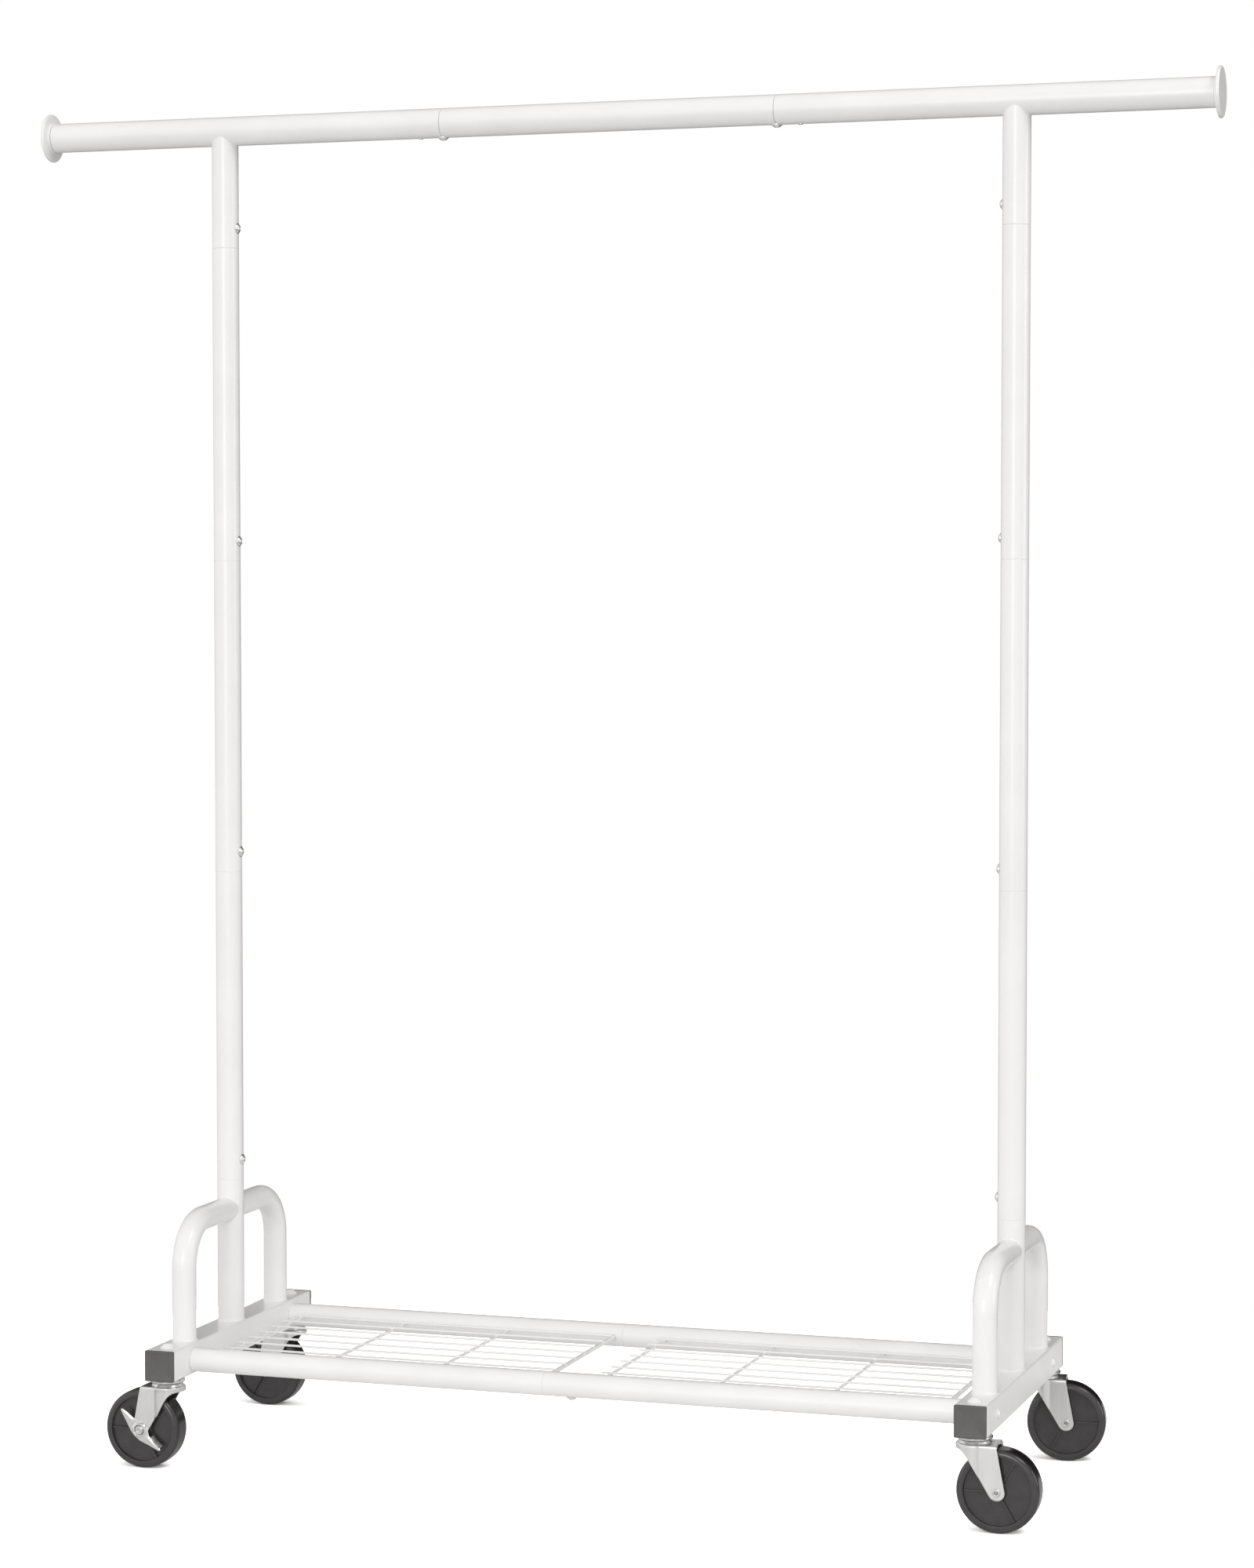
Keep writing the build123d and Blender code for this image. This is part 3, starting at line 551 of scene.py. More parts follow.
def make_handles():
    """Bent handle tubes: a circle carried up, round a bend and in to the post, with its end cut to the
    post's side, and a weld bead at each end."""
    bend = HANDLE_BEND
    for side in SIDES:
        post_low, post_high, _ = box_of(f"post_stub_{side}")
        post_radius = (post_high[0] - post_low[0]) / 2
        for end, sign in ENDS.items():
            name = f"handle_{end}_{side}"
            low, high, middle = box_of(name)
            radius = (high[0] - low[0]) / 2
            leg_y = (high[1] if sign > 0 else -low[1]) - radius
            run_z = high[2] - radius
            turn = np.linspace(0, math.pi / 2, 25)
            path_y = np.concatenate([[leg_y, leg_y], leg_y - bend + bend * np.cos(turn), [0.0]])
            path_z = np.concatenate([[low[2], run_z - bend - 1], run_z - bend + bend * np.sin(turn), [run_z]])
            lean = np.concatenate([[0, 0], turn, [math.pi / 2]])
            angle = np.linspace(0, 2 * math.pi, 64, endpoint=False)
            walls = []
            for reach in (radius, radius - WALL):
                out = reach * np.cos(angle)[None]
                x = middle[0] + reach * np.sin(angle)[None] + 0 * out
                y = path_y[:, None] + out * np.cos(lean)[:, None]
                z = path_z[:, None] + out * np.sin(lean)[:, None]
                x = np.broadcast_to(x, y.shape).copy()
                y[-1] = np.sqrt(post_radius**2 - (x[-1] - middle[0]) ** 2) - 0.4
                walls.append(np.stack([x, sign * y, z], -1))
            grid = np.concatenate([walls[0], walls[1][::-1]])
            tube_piece(name, (grid, True, True))
            foot_point, top_point = (middle[0], sign * leg_y, low[2]), (middle[0], 0.0, run_z)
            foot = weld_bead(foot_point, (0, 0, 1), radius, lambda a, _: 0 * a, seed=leg_y * sign)

            def post_side(a, _, reach=post_radius):
                """Distance from the post's axis to its side, at the sideways offset that is horizontal."""
                return np.sqrt(np.maximum(reach**2 - a**2, 0.5))

            top = weld_bead(
                top_point, (0, sign, 0), radius, post_side, HANDLE_WELD_LEG, ripples=20, seed=sign
            )
            piece(f"{name}_welds", [foot, top], POWDER, FRAME_BODY, sharp=60)


def make_base():
    """Square base tubes, as a rounded square carried along Y with an inner skin, and their end plugs."""
    for side in SIDES:
        name = f"base_tube_{side}"
        low, high, middle = box_of(name)
        half, depth = (high[0] - low[0]) / 2, high[1]
        ends = [(-depth, half - 0.5), (-depth + 0.5, half), (-depth + 2.0, half)]
        loops = ends + [(-along, size) for along, size in ends[::-1]]
        loops += [(depth, half - WALL), (-depth, half - WALL)]
        sheet = square_loops(loops, middle[0], middle[2], half, BASE_CORNER), True, True
        piece(f"{name}_steel", [sheet], POWDER, FRAME_BODY, [name])
        for end, sign in ENDS.items():
            name = f"base_end_cap_{end}_{side}"
            low, high, middle = box_of(name)
            outer = high[1] if sign > 0 else -low[1]
            loops = [(depth - 1.0, 0.0), (depth - 1.0, half - 1.9), (depth + 0.5, half - 1.9)]
            loops += [(depth + 0.5, half - 0.5), (depth + 0.7, half - 0.15), (outer - 0.7, half)]
            loops += [(outer - 0.2, half - 0.18), (outer, half - 0.6), (outer - 0.05, half - 2.6)]
            loops += [(outer - 0.35, half - 3.4), (outer - 0.35, 0.0)]
            grid = square_loops(loops, middle[0], middle[2], half, BASE_CORNER)
            grid[..., 1] *= sign
            sheet = grid, False, True
            piece(f"{name}_moulding", [sheet], PLASTIC_GREY, FRAME_BODY, [name], 50)


def square_loops(loops, centre_x, centre_z, half, corner):
    """Rounded squares stacked along Y: each loop is a place along Y and a half width."""
    rows = []
    for along, size in loops:
        outline = square_outline(size, max(corner - (half - size), 0.3))
        x, z = centre_x + outline[:, 0], centre_z + outline[:, 1]
        rows.append(np.stack([x, 0 * x + along, z], -1))
    return np.array(rows)


# ---- shelf


def make_bars():
    """Four half bars with rounded lips at the seam."""
    for end in ENDS:
        left_low, _, middle = box_of(f"shelf_bar_{end}_left")
        right_low, right_high, _ = box_of(f"shelf_bar_{end}_right")
        radius = (right_high[2] - right_low[2]) / 2
        seam = right_low[0]
        origin = (0.0, middle[1], middle[2])
        spans = {"left": (left_low[0], seam), "right": (seam, right_high[0])}
        for side, (start, stop) in spans.items():
            name = f"shelf_bar_{end}_{side}"
            sheet = tube_wall(start, stop, radius, origin, (1, 0, 0))
            tube_piece(name, sheet)


CROSS_WIRES = 4
CROSS_PITCH = 149.2
CROSS_RADIUS = 2.1
END_RADIUS = 2.9
LONG_WIRES = 8
LONG_PITCH = 38.5
LONG_RADIUS = 1.5
WIRE_STUB = 10.0
SHEARED_EDGE = 0.35
# The weld nugget's half height, and how far below a long wire's axis its middle lies
NUGGET_HEIGHT = 1.7
NUGGET_DROP = 1.2


def wire(start, end, radius, count=14, drift=None):
    """Drawn wire with sheared ends: a rounded rectangle of (length, radius) turned on the line between
    two points, its middle stations moved by a slight drift."""
    start, end = np.asarray(start, float), np.asarray(end, float)
    length = np.linalg.norm(end - start)
    edge = SHEARED_EDGE
    heights = np.concatenate([[0, 0, edge * 0.3, edge], np.linspace(edge, length - edge, 12)[1:-1]])
    heights = np.concatenate([heights, [length - edge, length - edge * 0.3, length, length]])
    radii = np.full(len(heights), radius)
    radii[[0, -1]] = 0.0
    radii[[1, -2]] = radius - edge
    radii[[2, -3]] = radius - edge * 0.3
    grid = turned(heights, radii, start, end - start, count)
    if drift is not None:
        along = np.sin(math.pi * heights / length)[:, None, None]
        grid = grid + along * np.asarray(drift, float)
    return grid, False, True


def weld_spot(centre, size, count=10):
    """Resistance-weld nugget: a flattened ball, its height squared off a little at the top."""
    rise = np.linspace(-math.pi / 2, math.pi / 2, 7)
    angle = np.linspace(0, 2 * math.pi, count, endpoint=False)
    x = size[0] * np.cos(rise)[:, None] * np.cos(angle)
    y = size[1] * np.cos(rise)[:, None] * np.sin(angle)
    z = size[2] * np.sin(rise)[:, None] + 0 * angle
    return np.asarray(centre, float) + np.stack([x, y, z], -1), False, True


def make_panels():
    """Wire shelf panels: cross wires that end in the bars, long wires laid on them, a nugget at every
    crossing, and a powder-filled neck where a cross wire enters a bar."""
    for side in SIDES:
        name = f"shelf_panel_{side}"
        low, high, _ = box_of(name)
        first_x = low[0] + WIRE_STUB
        cross_z = low[2] + END_RADIUS
        long_z = high[2] - LONG_RADIUS
        cross_x = first_x + CROSS_PITCH * np.arange(CROSS_WIRES)
        radii = [CROSS_RADIUS] * (CROSS_WIRES - 1) + [END_RADIUS]
        long_y = LONG_PITCH * (np.arange(LONG_WIRES) - (LONG_WIRES - 1) / 2)
        sheets = []
        for x, radius in zip(cross_x, radii):
            sheets.append(wire((x, low[1], cross_z), (x, high[1], cross_z), radius, 18))
            for sign in (-1, 1):
                neck = sign * (high[1] - 4.5)
                outline = [(-3.0, 0.0), (-3.0, radius + 1.3), (1.6, radius + 0.05), (1.6, 0.0)]
                outline = rounded(outline, [0, 0.6, 0, 0], 4)
                sheets.append((turned_outline(outline, (x, neck, cross_z), (0, -sign, 0), 18), True, True))
        for index, y in enumerate(long_y):
            sag = (0.0, 0.35 * math.sin(2.1 * index + 0.7), -0.25)
            start, stop = (cross_x[0] - WIRE_STUB, y, long_z), (cross_x[-1], y, long_z)
            sheets.append(wire(start, stop, LONG_RADIUS, 12, sag))
            for x, radius in zip(cross_x, radii):
                size = (radius + 0.2, LONG_RADIUS + 0.55, NUGGET_HEIGHT)
                sheets.append(weld_spot((x, y, long_z - NUGGET_DROP), size))
        piece(f"{name}_wires", sheets, POWDER, FRAME_BODY, [name], 50)


# ---- fasteners


HEAD_RADIUS = 6.5
HEAD_HEIGHT = 3.8
KEY_HALF = 2.0
KEY_DEPTH = 2.0
WASHER_RADIUS = 7.2


def socket_head(seat, axis, shank_radius, shank_length, count=48):
    """Truss head with a hexagon socket. The dome is a low sphere; its inner rows follow the hexagon,
    whose radius at the angle t is the half key width over the cosine of t folded into one flat."""
    radius, height, key = HEAD_RADIUS, HEAD_HEIGHT, KEY_HALF
    ball = (radius**2 + height**2) / (2 * height)
    angle = np.linspace(0, 2 * math.pi, count, endpoint=False)
    flat = key / np.cos((angle + math.pi / 6) % (math.pi / 3) - math.pi / 6)
    share = np.array([0.0, 0.25, 0.5, 0.72, 0.88, 0.96, 1.0])[:, None]
    outer = flat + 0.45 + (radius - flat - 0.45) * share
    dome = np.sqrt(ball**2 - outer**2) - (ball - height)
    floor = height - KEY_DEPTH
    socket, under = [0 * flat, flat * 0.96, flat], [0 * flat + radius - 0.5, 0 * flat]
    radii = np.concatenate([socket, outer, under])
    inside = [0 * flat + floor - 0.4, 0 * flat + floor, dome[0] - 0.25]
    heights = np.concatenate([inside, dome, np.zeros((2, count)) - 0.3])
    end = -shank_length
    outline = rounded([(end, 0), (end, shank_radius), (-0.1, shank_radius), (-0.1, 0)], [0, 0.6, 0, 0], 4)
    shank = turned_outline(outline, seat, axis, 24)
    return [(turned(heights, radii, seat, axis, count), False, True), (shank, True, True)]


def make_fasteners():
    """Bolts of the post, rail and bar joints, the long bolts into the bars, and the stems' domed nuts."""
    sheets = []
    for low, high in solids_of("tube_joint_bolts"):
        centre = (low + high) / 2
        if high[2] - low[2] > high[0] - low[0]:
            axis, seat = np.array([0, 0, -1.0]), np.array([centre[0], centre[1], low[2] + HEAD_HEIGHT])
        else:
            inward = -np.sign(centre[0])
            tip = high[0] if inward > 0 else low[0]
            axis = np.array([inward, 0, 0.0])
            seat = np.array([tip - inward * HEAD_HEIGHT, centre[1], centre[2]])
        sheets += socket_head(seat, axis, 3.0, 14.0)
        washer = [(-0.9, 0.0), (-0.9, WASHER_RADIUS), (0.25, WASHER_RADIUS), (0.25, 0.0)]
        washer = rounded(washer, [0, 0.1, 0.25, 0], 4)
        sheets.append((turned_outline(washer, seat, axis, 40), True, True))
    piece("tube_joint_bolt_set", sheets, BOLT_BRIGHT, FRAME_BODY, ["tube_joint_bolts"], 32)
    sheets = []
    for low, high in solids_of("shelf_bar_bolts"):
        centre = (low + high) / 2
        outward = np.sign(centre[0])
        tip = high[0] if outward > 0 else low[0]
        seat = np.array([tip - outward * HEAD_HEIGHT, centre[1], centre[2]])
        sheets += socket_head(seat, (outward, 0, 0), 4.0, high[0] - low[0] - HEAD_HEIGHT - 0.1)
    piece("shelf_bar_bolt_set", sheets, POWDER, FRAME_BODY, ["shelf_bar_bolts"], 32)
    sheets = []
    for low, high in solids_of("caster_cap_nuts"):
        centre = (low + high) / 2
        radius, height = (high[0] - low[0]) / 2, high[2] - low[2]
        outline = [(0.0, 0.0), (0.0, radius), (1.1, radius), (height, radius * 0.42), (height, 0.0)]
        outline = rounded(outline, [0, 0.1, 1.2, 2.2, 0], 8)
        sheets.append((turned_outline(outline, (centre[0], centre[1], low[2]), (0, 0, 1), 48), True, True))
    piece("stem_cap_nut_set", sheets, POWDER, FRAME_BODY, ["caster_cap_nuts"])


# ---- casters

# Driving sizes of a caster, in its own axes: X from the stem to the trailing wheel, Y across, Z up
FORK_NOSE = 23.0
FORK_HALF = 21.0
FORK_WALL = 2.5
FORK_TOP = 107.5
FORK_BEND = 2.2
FORK_TAB = 30.2
RACEWAY = 20.6
RACEWAY_TOP = 111.2
WHEEL_RADIUS = 51.1
WHEEL_HALF = 16.0
RECESS = 5.0
RECESS_RADIUS = 41.4
SHOULDER = 6.0
RIB_HEIGHT = 3.8
LEVER_GAP = 0.35
LEVER_WALL = 1.5
# How far the fork's leg stands proud of its nose on the lever's side
FORK_STEP = 2.2


def caster_frame(caster):
    """Swivel axis, trailing direction, trail and axle height of a caster, from its joints."""
    swivel = np.array(JOINTS[f"swivel_{caster}"]["pos_m"]) / MM
    axle = np.array(JOINTS[f"wheel_spin_{caster}"]["pos_m"]) / MM
    away = axle[:2] - swivel[:2]
    trail = np.linalg.norm(away)
    return swivel, away / trail, trail, axle[2]


def axle_line(caster):
    """Middle of a caster's axle and the axle's direction, to the lever's side."""
    _, way, trail, axle_z = caster_frame(caster)
    return on_caster((trail, 0, axle_z), caster), np.array([-way[1], way[0], 0.0])


def on_caster(grid, caster):
    """Carries points from a caster's own axes (X to the trailing wheel) to the rack's."""
    swivel, way, _, _ = caster_frame(caster)
    x, y, z = np.moveaxis(np.asarray(grid, float), -1, 0)
    return np.stack([swivel[0] + x * way[0] - y * way[1], swivel[1] + x * way[1] + y * way[0], z], -1)


def fork_lower_edge(x, trail, axle_z):
    """Height of the fork wall's lower edge at x: nose flange, hollow curve, straight leg, round end."""
    knots_x = [-24, -17.5, -14.5, -11.0, -7.5, -4.0, trail - 8.6]
    knots_z = [101.0, 101.0, 100.2, 98.0, 94.4, 89.5, axle_z - 5.1]
    edge = np.interp(x, knots_x, knots_z)
    inside = np.clip(x - trail, -9.999, 9.999)
    end = axle_z - np.sqrt(100.0 - inside**2)
    return np.where(x > trail - 8.6, end, edge)


def fork_upper_edge(x, trail, axle_z):
    """Height of the fork wall's upper edge at x: flat under the crown, then down the sloped back edge."""
    slope = (FORK_TOP - FORK_BEND - axle_z) / (trail + 9.95 - FORK_TAB)
    return np.minimum(FORK_TOP - FORK_BEND, axle_z + (trail + 9.95 - x) * slope)


def fork_shell(caster):
    """Pressed fork as one sheet. Along u it follows the plan, down one leg, round the nose and up the
    other; along v it climbs from the lower edge, turns over the top bend and runs in to the middle line.
    The crown rises to a raceway where its distance from the swivel axis is small."""
    _, _, trail, axle_z = caster_frame(caster)
    reach = trail + 9.98
    touch = math.sqrt(FORK_NOSE**2 - FORK_HALF**2)
    tip = reach - 10 * (1 - np.cos(np.linspace(0, math.pi / 2, 16)))
    legs = np.concatenate([tip, np.linspace(trail, touch + 0.4, 22)[1:], [touch]])
    first = math.acos(touch / FORK_NOSE)
    nose = np.linspace(first, 2 * math.pi - first, 90)[1:-1]
    plan_x = np.concatenate([legs, FORK_NOSE * np.cos(nose), legs[::-1]])
    plan_y = np.concatenate([0 * legs + FORK_HALF, FORK_NOSE * np.sin(nose), 0 * legs - FORK_HALF])
    low, high = fork_lower_edge(plan_x, trail, axle_z), fork_upper_edge(plan_x, trail, axle_z)
    rise = np.linspace(0, 1, 26)[:, None]
    x, y, z = plan_x + 0 * rise, plan_y + 0 * rise, low + (high - low) * rise
    # On the lever's side of a braked fork the leg stands proud of the nose by a short step
    step = np.clip((touch + 0.4 - x) / 0.4, 0, 1) * np.clip((x + 8) / 14, 0, 1)
    step = step * np.clip((z - 58) / 6, 0, 1) * np.clip((high - z) / 4, 0, 1)
    y = y - np.where(y > 0, FORK_STEP if caster in BRAKED else 0.0, 0.0) * step
    crown_x, crown_y = np.minimum(plan_x, FORK_TAB), plan_y
    goal_x = np.clip(plan_x, 0.0, FORK_TAB)
    far = np.hypot(goal_x - crown_x, crown_y)
    in_x, in_y = (goal_x - crown_x) / far, -crown_y / far
    turn = np.linspace(0, math.pi / 2, 7)[1:, None]
    inward = FORK_BEND * (1 - np.cos(turn))
    lift = FORK_BEND * np.sin(turn)
    on_crown = plan_x <= FORK_TAB + 1e-6
    bend_x, bend_y = plan_x + in_x * inward, plan_y + in_y * inward
    bend_z = np.where(on_crown, high + lift, high + 0 * lift)
    bend_x, bend_y = np.where(on_crown, bend_x, plan_x), np.where(on_crown, bend_y, plan_y)
    share = np.linspace(0, 1, 30)[1:, None]
    run = (far - FORK_BEND) * share + FORK_BEND
    flat_x, flat_y = crown_x + in_x * run, crown_y + in_y * run
    flat_x, flat_y = np.where(on_crown, flat_x, plan_x), np.where(on_crown, flat_y, plan_y)
    radius = np.hypot(flat_x, flat_y)
    ramp = np.clip((RACEWAY - radius) / 1.6, 0, 1)
    flat_z = FORK_TOP + (RACEWAY_TOP - FORK_TOP) * ramp**2 * (3 - 2 * ramp)
    flat_z = np.where(on_crown, flat_z, high + 0 * share)
    parts = (x, bend_x, flat_x), (y, bend_y, flat_y), (z, bend_z, flat_z)
    return on_caster(np.stack([np.concatenate(part) for part in parts], -1), caster)


def rivet_head(caster, face, sign):
    """Hollow axle rivet on a fork's side: a rolled ring round a dark bore."""
    middle, axis = axle_line(caster)
    outline = [(-1.0, 0.0), (-1.0, 4.2), (0.0, 5.3), (1.5, 4.6), (1.5, 2.5), (-0.6, 2.2), (-0.6, 0.0)]
    outline = rounded(outline, [0, 0, 0.2, 1.1, 0.7, 0.2, 0], 6)
    return turned_outline(outline, middle + sign * face * axis, sign * axis, 40), True, True


def make_forks():
    """Fork, axle with its riveted ends and the upper race of every caster."""
    for caster in CASTERS:
        name, body = f"caster_fork_{caster}", f"fork_{caster}"
        sheet = fork_shell(caster), False, False
        fork = piece(f"{name}_pressing", [sheet], ZINC_FORK, body, [name], 45)
        turn_outwards(fork)
        thicken(fork, FORK_WALL, -1.0)
        outer = FORK_HALF + (2.4 if caster in BRAKED else 0.0)
        rod = rounded([(-FORK_HALF, 0), (-FORK_HALF, 4), (outer, 4), (outer, 0)], [0, 0, 0, 0], 2)
        sheets = [(turned_outline(rod, *axle_line(caster), 32), True, True)]
        sheets += [rivet_head(caster, outer, 1), rivet_head(caster, FORK_HALF, -1)]
        name = f"caster_axle_{caster}"
        piece(f"{name}_riveted", sheets, ZINC_SMALL, body, [name])
    sheets = []
    for low, high in solids_of("caster_races"):
        centre, radius = (low + high) / 2, (high[0] - low[0]) / 2
        depth = high[2] - low[2]
        outline = [(0, 6.05), (0, radius - 1.2), (depth * 0.45, radius), (depth, radius - 0.6)]
        outline += [(depth, 16.9), (depth - 2.6, 14.5), (depth, 12.0), (depth, 6.05)]
        outline = rounded(outline, [0, 0.5, 0.9, 0.7, 0.2, 1.2, 0.2, 0], 5)
        sheets.append((turned_outline(outline, (centre[0], centre[1], high[2]), (0, 0, -1), 72), True, True))
    piece("caster_upper_race_set", sheets, ZINC_SMALL, FRAME_BODY, ["caster_races"])


def turn_outwards(made):
    """Turns an open sheet's faces over if its highest one faces down."""
    mesh = made.data
    face = max(mesh.polygons, key=lambda polygon: polygon.center[2])
    if face.normal[2] < 0:
        shaped = bmesh.new()
        shaped.from_mesh(mesh)
        bmesh.ops.reverse_faces(shaped, faces=shaped.faces)
        shaped.to_mesh(mesh)
        shaped.free()
        mesh.shade_smooth()


# Direction of a wheel's first rib, in degrees
RIB_START = {"front_left": 0.0, "front_right": 180.0, "back_left": 180.0, "back_right": 0.0}


def wheel_shape(caster):
    """Wheel body: an outline of (half width, radius) turned on the axle, with a crowned tread, round
    shoulders, a flat side ring and a recessed web that falls to the hub."""
    web = WHEEL_HALF - RECESS
    side = [
        (WHEEL_HALF + 1.8, 6.6),
        (WHEEL_HALF + 1.8, 10.3),
        (web, 11.2),
        (web, RECESS_RADIUS),
        (WHEEL_HALF, 42.0),
        (WHEEL_HALF, WHEEL_RADIUS - 0.4),
        (WHEEL_HALF * 0.45, WHEEL_RADIUS),
    ]
    radii = [0.4, 1.2, 1.2, 0.3, 0.7, SHOULDER, SHOULDER]
    outline = side + [(-h, r) for h, r in side[::-1]]
    outline = rounded(outline, radii + radii[::-1], 8)
    return turned_outline(outline, *axle_line(caster), 128), True, True


def wheel_rib(caster, angle, sign):
    """Thin raised rib on the web: a tapered section carried out from the hub to the rim."""
    _, _, trail, axle_z = caster_frame(caster)
    web = WHEEL_HALF - RECESS - 0.2
    along = np.array([9.5, 11.5, 25.0, 39.0, 41.4])[:, None]
    drop = np.array([0.0, 0.0, 0.0, 0.0, 0.4])[:, None]
    section = [(-1.3, -0.6), (-1.0, RIB_HEIGHT), (1.0, RIB_HEIGHT), (1.3, -0.6)]
    section = rounded(section, [0.1, 0.4, 0.4, 0.1], 5)
    wide, height = section[:, 0][None], section[:, 1][None] - drop
    ca, sa = math.cos(math.radians(angle)), math.sin(math.radians(angle))
    x = trail + along * ca - wide * sa
    z = axle_z + along * sa + wide * ca
    y = sign * (web + height) + 0 * along
    rows = np.stack([x, y, z], -1)
    caps = [np.broadcast_to(rows[i].mean(0), rows[i].shape)[None] for i in (0, -1)]
    return on_caster(np.concatenate([caps[0], rows, caps[1]]), caster), False, True


def mark_tread_shade(made, caster):
    """Stores on each point how far it belongs to the tread: 1 between the shoulders at the full radius,
    falling to 0 over 3 mm towards the side ring. The rubber paints the tread darker by it, as painted shade."""
    middle, axis = axle_line(caster)
    mesh = made.data
    points = np.zeros(len(mesh.vertices) * 3)
    mesh.vertices.foreach_get("co", points)
    offset = points.reshape(-1, 3) / MM - middle
    along = offset @ axis
    radius = np.sqrt((offset**2).sum(-1) - along**2)
    tread = np.clip((WHEEL_HALF - 1.5 - np.abs(along)) / 3, 0, 1) * (radius > WHEEL_RADIUS - 5)
    mesh.attributes.new("tread", "FLOAT", "POINT").data.foreach_set("value", tread)


def make_wheels():
    """Wheel of every caster with three ribs on each side."""
    for caster in CASTERS:
        sheets = [wheel_shape(caster)]
        for sign in (-1, 1):
            sheets += [wheel_rib(caster, RIB_START[caster] + turn, sign) for turn in (0, 120, 240)]
        name = f"caster_wheel_{caster}"
        made = piece(f"{name}_moulding", sheets, RUBBER, f"wheel_{caster}", [name], 40)
        mark_tread_shade(made, caster)


LEVER_UPPER = np.array([24.3, 26.4])
LEVER_LOWER = np.array([-29.5, -24.1])


def lever_rise(radius):
    """How far the lever's arms are set outwards at a radius from the axle."""
    return 1.6 * np.clip((radius - 14) / 22, 0, 1) ** 2


def lever_line(t):
    """Point and sideways direction on the lever's middle line: a parabola through tips and axle."""
    t = np.asarray(t, float)[..., None]
    half, bow = (LEVER_UPPER - LEVER_LOWER) / 2, (LEVER_UPPER + LEVER_LOWER) / 2
    point = t * half + t**2 * bow
    tangent = unit(half + 2 * t * bow)
    return point, np.stack([-tangent[..., 1], tangent[..., 0]], -1)


def lever_plate():
    """Leaf-shaped plate: t runs from tip to tip and s across; the half width on each side is a smooth
    bump over t. A ring is raised round the axle and the ends are set outwards a little."""
    knots = [-1.0, -0.97, -0.85, -0.62, -0.4, -0.25, 0.0, 0.2, 0.35, 0.5, 0.7, 0.85, 0.97, 1.0]
    left = [0.5, 0.9, 1.2, 1.8, 3.4, 7.4, 9.8, 8.8, 5.8, 4.6, 3.4, 2.2, 1.3, 0.5]
    right = [0.5, 1.6, 3.0, 5.2, 8.0, 9.8, 10.6, 9.4, 7.8, 6.2, 4.3, 3.0, 1.7, 0.5]
    t = np.linspace(-1, 1, 91)
    fine = np.linspace(-1, 1, 721)
    blur = np.hanning(41) / np.hanning(41).sum()
    smooth = [np.convolve(np.interp(fine, knots, w), blur, "same")[::8] for w in (left, right)]
    ends = np.clip((1 - np.abs(t)) / 0.03, 0.0, 1.0) ** 0.5
    smooth = [np.maximum(w * ends, 0.02) for w in smooth]
    s = np.linspace(-1, 1, 33)[None]
    point, sideways = lever_line(t)
    width = np.where(s > 0, smooth[0][:, None], smooth[1][:, None]) * s
    flat = point[:, None] + sideways[:, None] * width[..., None]
    radius = np.hypot(flat[..., 0], flat[..., 1])
    ring = 2.3 * np.exp(-(((radius - 7.8) / 1.1) ** 2))
    crease = 0.8 * np.clip((radius - 9) / 8, 0, 1) * (1 - np.abs(s) ** 1.5)
    return flat, ring + lever_rise(radius) + crease


def lever_sheet(caster, flat, height):
    """Lever points: x and z from the axle, and the height out from the fork's side."""
    _, _, trail, axle_z = caster_frame(caster)
    y = FORK_HALF + LEVER_GAP + height + 0 * flat[..., 0]
    return on_caster(np.stack([trail + flat[..., 0], y, axle_z + flat[..., 1]], -1), caster)


# The lower arm's foot: where it runs on the lever's line, its size and its teeth
FOOT_START = -0.48
FOOT_END = -0.95
FOOT_LENGTH = 7.2
FOOT_FOLD = math.radians(60)
FOOT_BEND = 1.5
TOOTH_HEIGHT = 0.35
TOOTH_PITCH = 2.1
LEVER_REACH = 36.0


def lever_foot(caster):
    """Strip folded in from the lower arm's upper edge: t runs along the arm and the columns round the
    fold and then inwards, splayed. Its teeth are a sine wave along t."""
    t = np.linspace(FOOT_START, FOOT_END, 72)
    point, sideways = lever_line(t)
    edge = np.interp(t, [-0.95, -0.62, -0.36], [1.0, 1.9, 4.0])[:, None]
    fold = np.linspace(0, FOOT_FOLD, 6)
    straight = np.linspace(0, FOOT_LENGTH - 1.7, 12)[1:]
    turn_in, turn_out = FOOT_BEND * (1 - np.cos(fold)), FOOT_BEND * np.sin(fold)
    inward = np.concatenate([turn_in, turn_in[-1] + straight * math.sin(FOOT_FOLD)])
    outward = np.concatenate([turn_out, turn_out[-1] + straight * math.cos(FOOT_FOLD)])
    share = np.linspace(0, 1, len(inward))
    span = FOOT_END - FOOT_START
    waves = abs(span) * LEVER_REACH / TOOTH_PITCH
    wave = TOOTH_HEIGHT * np.sin((t - FOOT_START) / span * 2 * math.pi * waves)
    teeth = wave[:, None] * np.clip((share - 0.3) / 0.15, 0, 1)
    foot = point[:, None] + sideways[:, None] * (edge - 1.0 + outward + teeth)[..., None]
    radius = np.hypot(foot[..., 0], foot[..., 1])[:, :1]
    return lever_sheet(caster, foot, lever_rise(radius) - inward)


def make_levers():
    """Brake levers: the leaf plate, and the toothed foot folded in from its lower arm."""
    for caster in BRAKED:
        name, body = f"brake_lever_{caster}", f"brake_{caster}"
        sheet = lever_sheet(caster, *lever_plate()), False, False
        plate = piece(f"{name}_pressing", [sheet], ZINC_LEVER, body, [name], 50)
        sheet = lever_foot(caster), False, False
        # painted shade: the foot takes the darker zinc that stands in for its shadow
        foot = piece(f"{name}_foot", [sheet], ZINC_FOOT_SHADED, body, sharp=50)
        for pressing in (plate, foot):
            thicken(pressing, LEVER_WALL, 0.0)


# ---- floor


FLOOR_RADIUS = 1250.0
FLOOR_DROP = 0.05


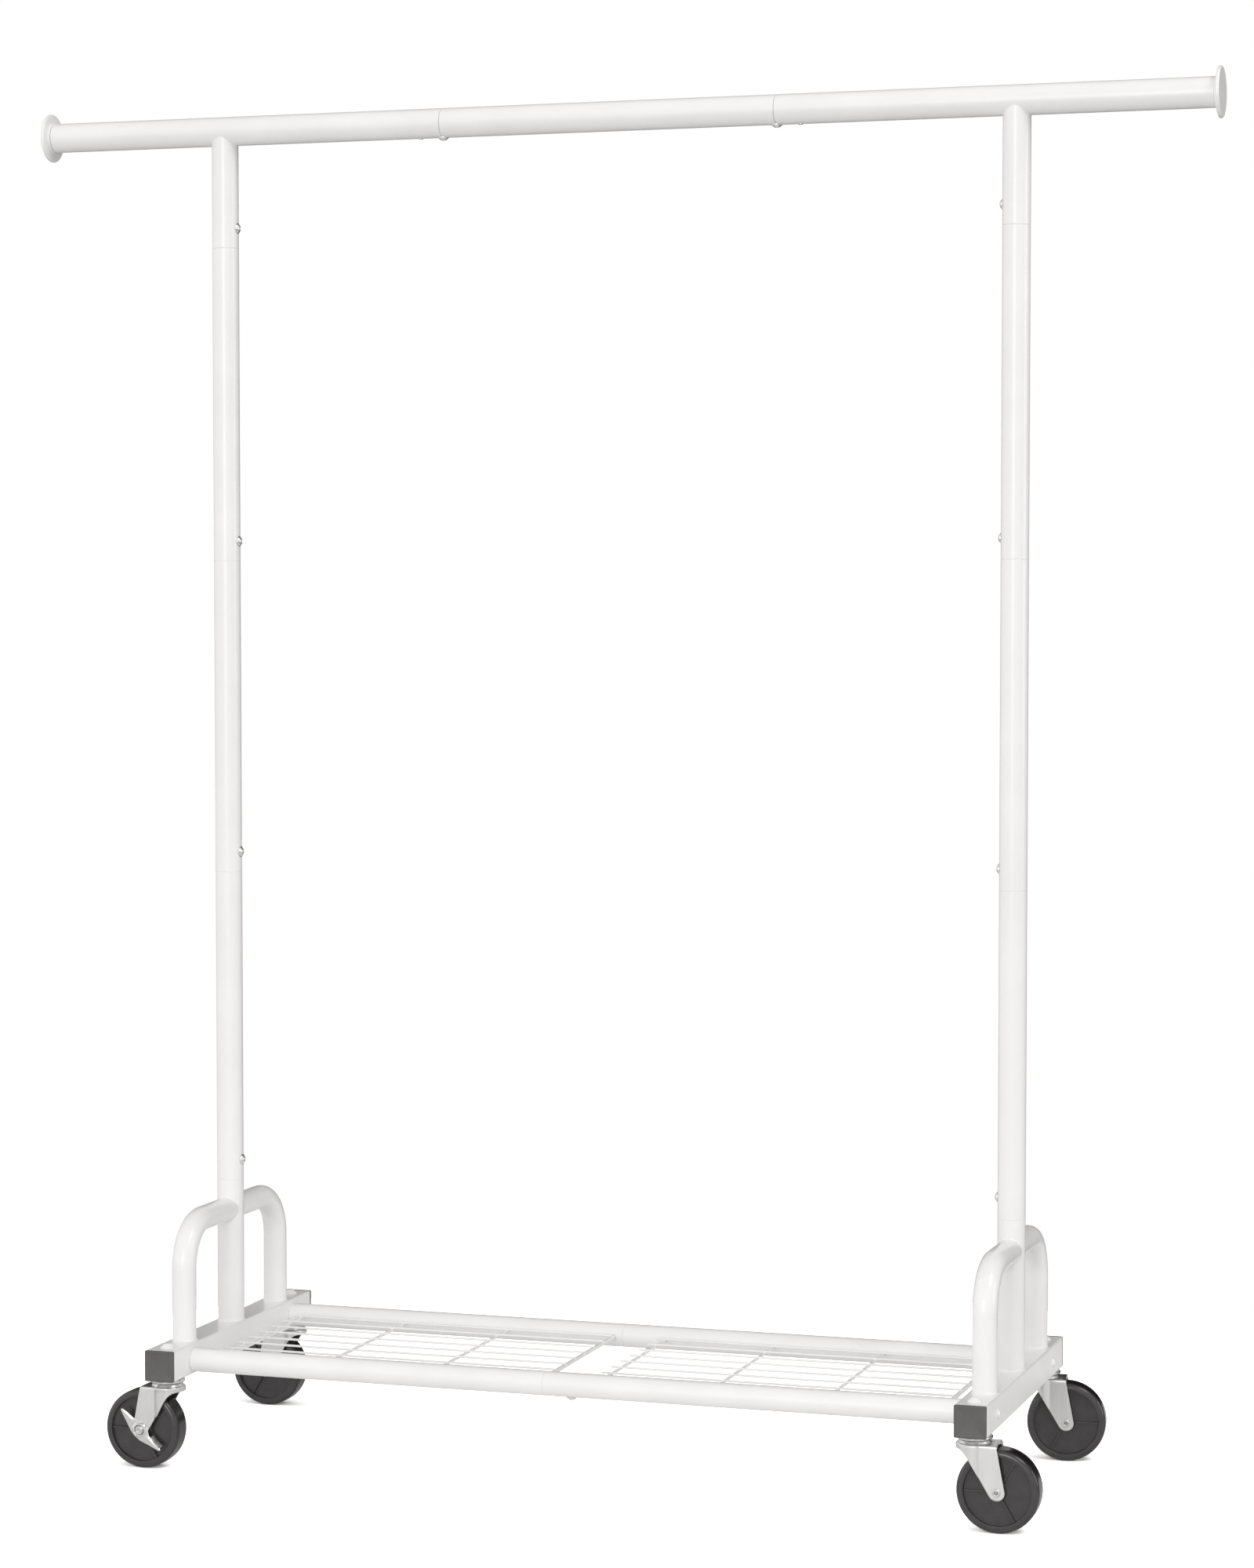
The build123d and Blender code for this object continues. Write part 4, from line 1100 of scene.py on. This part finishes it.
def make_floor():
    """Round pale floor: rings of points at growing radii. Its paper is drawn lighter to the camera
    than to other rays, so that it looks nearly white and still throws a natural light back up."""
    rings, spokes = 24, 96
    radii = np.linspace(0.0, FLOOR_RADIUS, rings)
    grid = turned(0 * radii - FLOOR_DROP, radii, (0.0, 0.0, 0.0), (0, 0, 1), spokes)
    mesh = bpy.data.meshes.new("studio_floor")
    mesh.from_pydata((grid.reshape(-1, 3) * MM).tolist(), [], quads(rings, spokes, False, True).tolist())
    material = bpy.data.materials.new("paper_sweep_pale")
    material.use_nodes = True
    tree = material.node_tree
    tree.nodes.clear()
    place = add(tree, "ShaderNodeTexCoord").outputs["Object"]
    fibre = blend(tree, spread(tree, grain(tree, place, 3.0, 3.0), 0, 1), "#FAFAFA", "#F6F6F6")
    path = add(tree, "ShaderNodeLightPath").outputs["Is Camera Ray"]
    links = {"Vector": fibre, "Scale": spread(tree, path, 1.0, 2.6, 0, 1)}
    paper = add(tree, "ShaderNodeVectorMath", links, operation="SCALE").outputs["Vector"]
    matt = add(tree, "ShaderNodeBsdfDiffuse", {"Color": paper})
    add(tree, "ShaderNodeOutputMaterial", {"Surface": matt.outputs[0]})
    mesh.materials.append(material)
    floor = bpy.data.objects.new("studio_floor", mesh)
    bpy.context.scene.collection.objects.link(floor)


def keep_cad_nodes():
    """Materials for the CAD nodes that stay as they are, all of them inside the tubes or the casters."""
    for name, material in KEPT_NODES.items():
        materials = NODES[name].data.materials
        materials.clear()
        materials.append(material)


add_camera()
add_world()
bpy.context.scene.view_settings.view_transform = "Standard"
add_light("softbox_right", (0.62, -0.26, 0.74), 8.0, (2.4, 2.4), 0.22)
add_light("softbox_front", (0.02, -0.98, 0.15), 8.0, (2.2, 3.0), 0.16)
add_light("softbox_side", (0.93, 0.10, 0.15), 8.0, (2.2, 3.4), 0.14)
make_floor()
make_posts()
make_rail()
make_handles()
make_base()
make_bars()
make_panels()
make_fasteners()
make_forks()
make_wheels()
make_levers()
keep_cad_nodes()
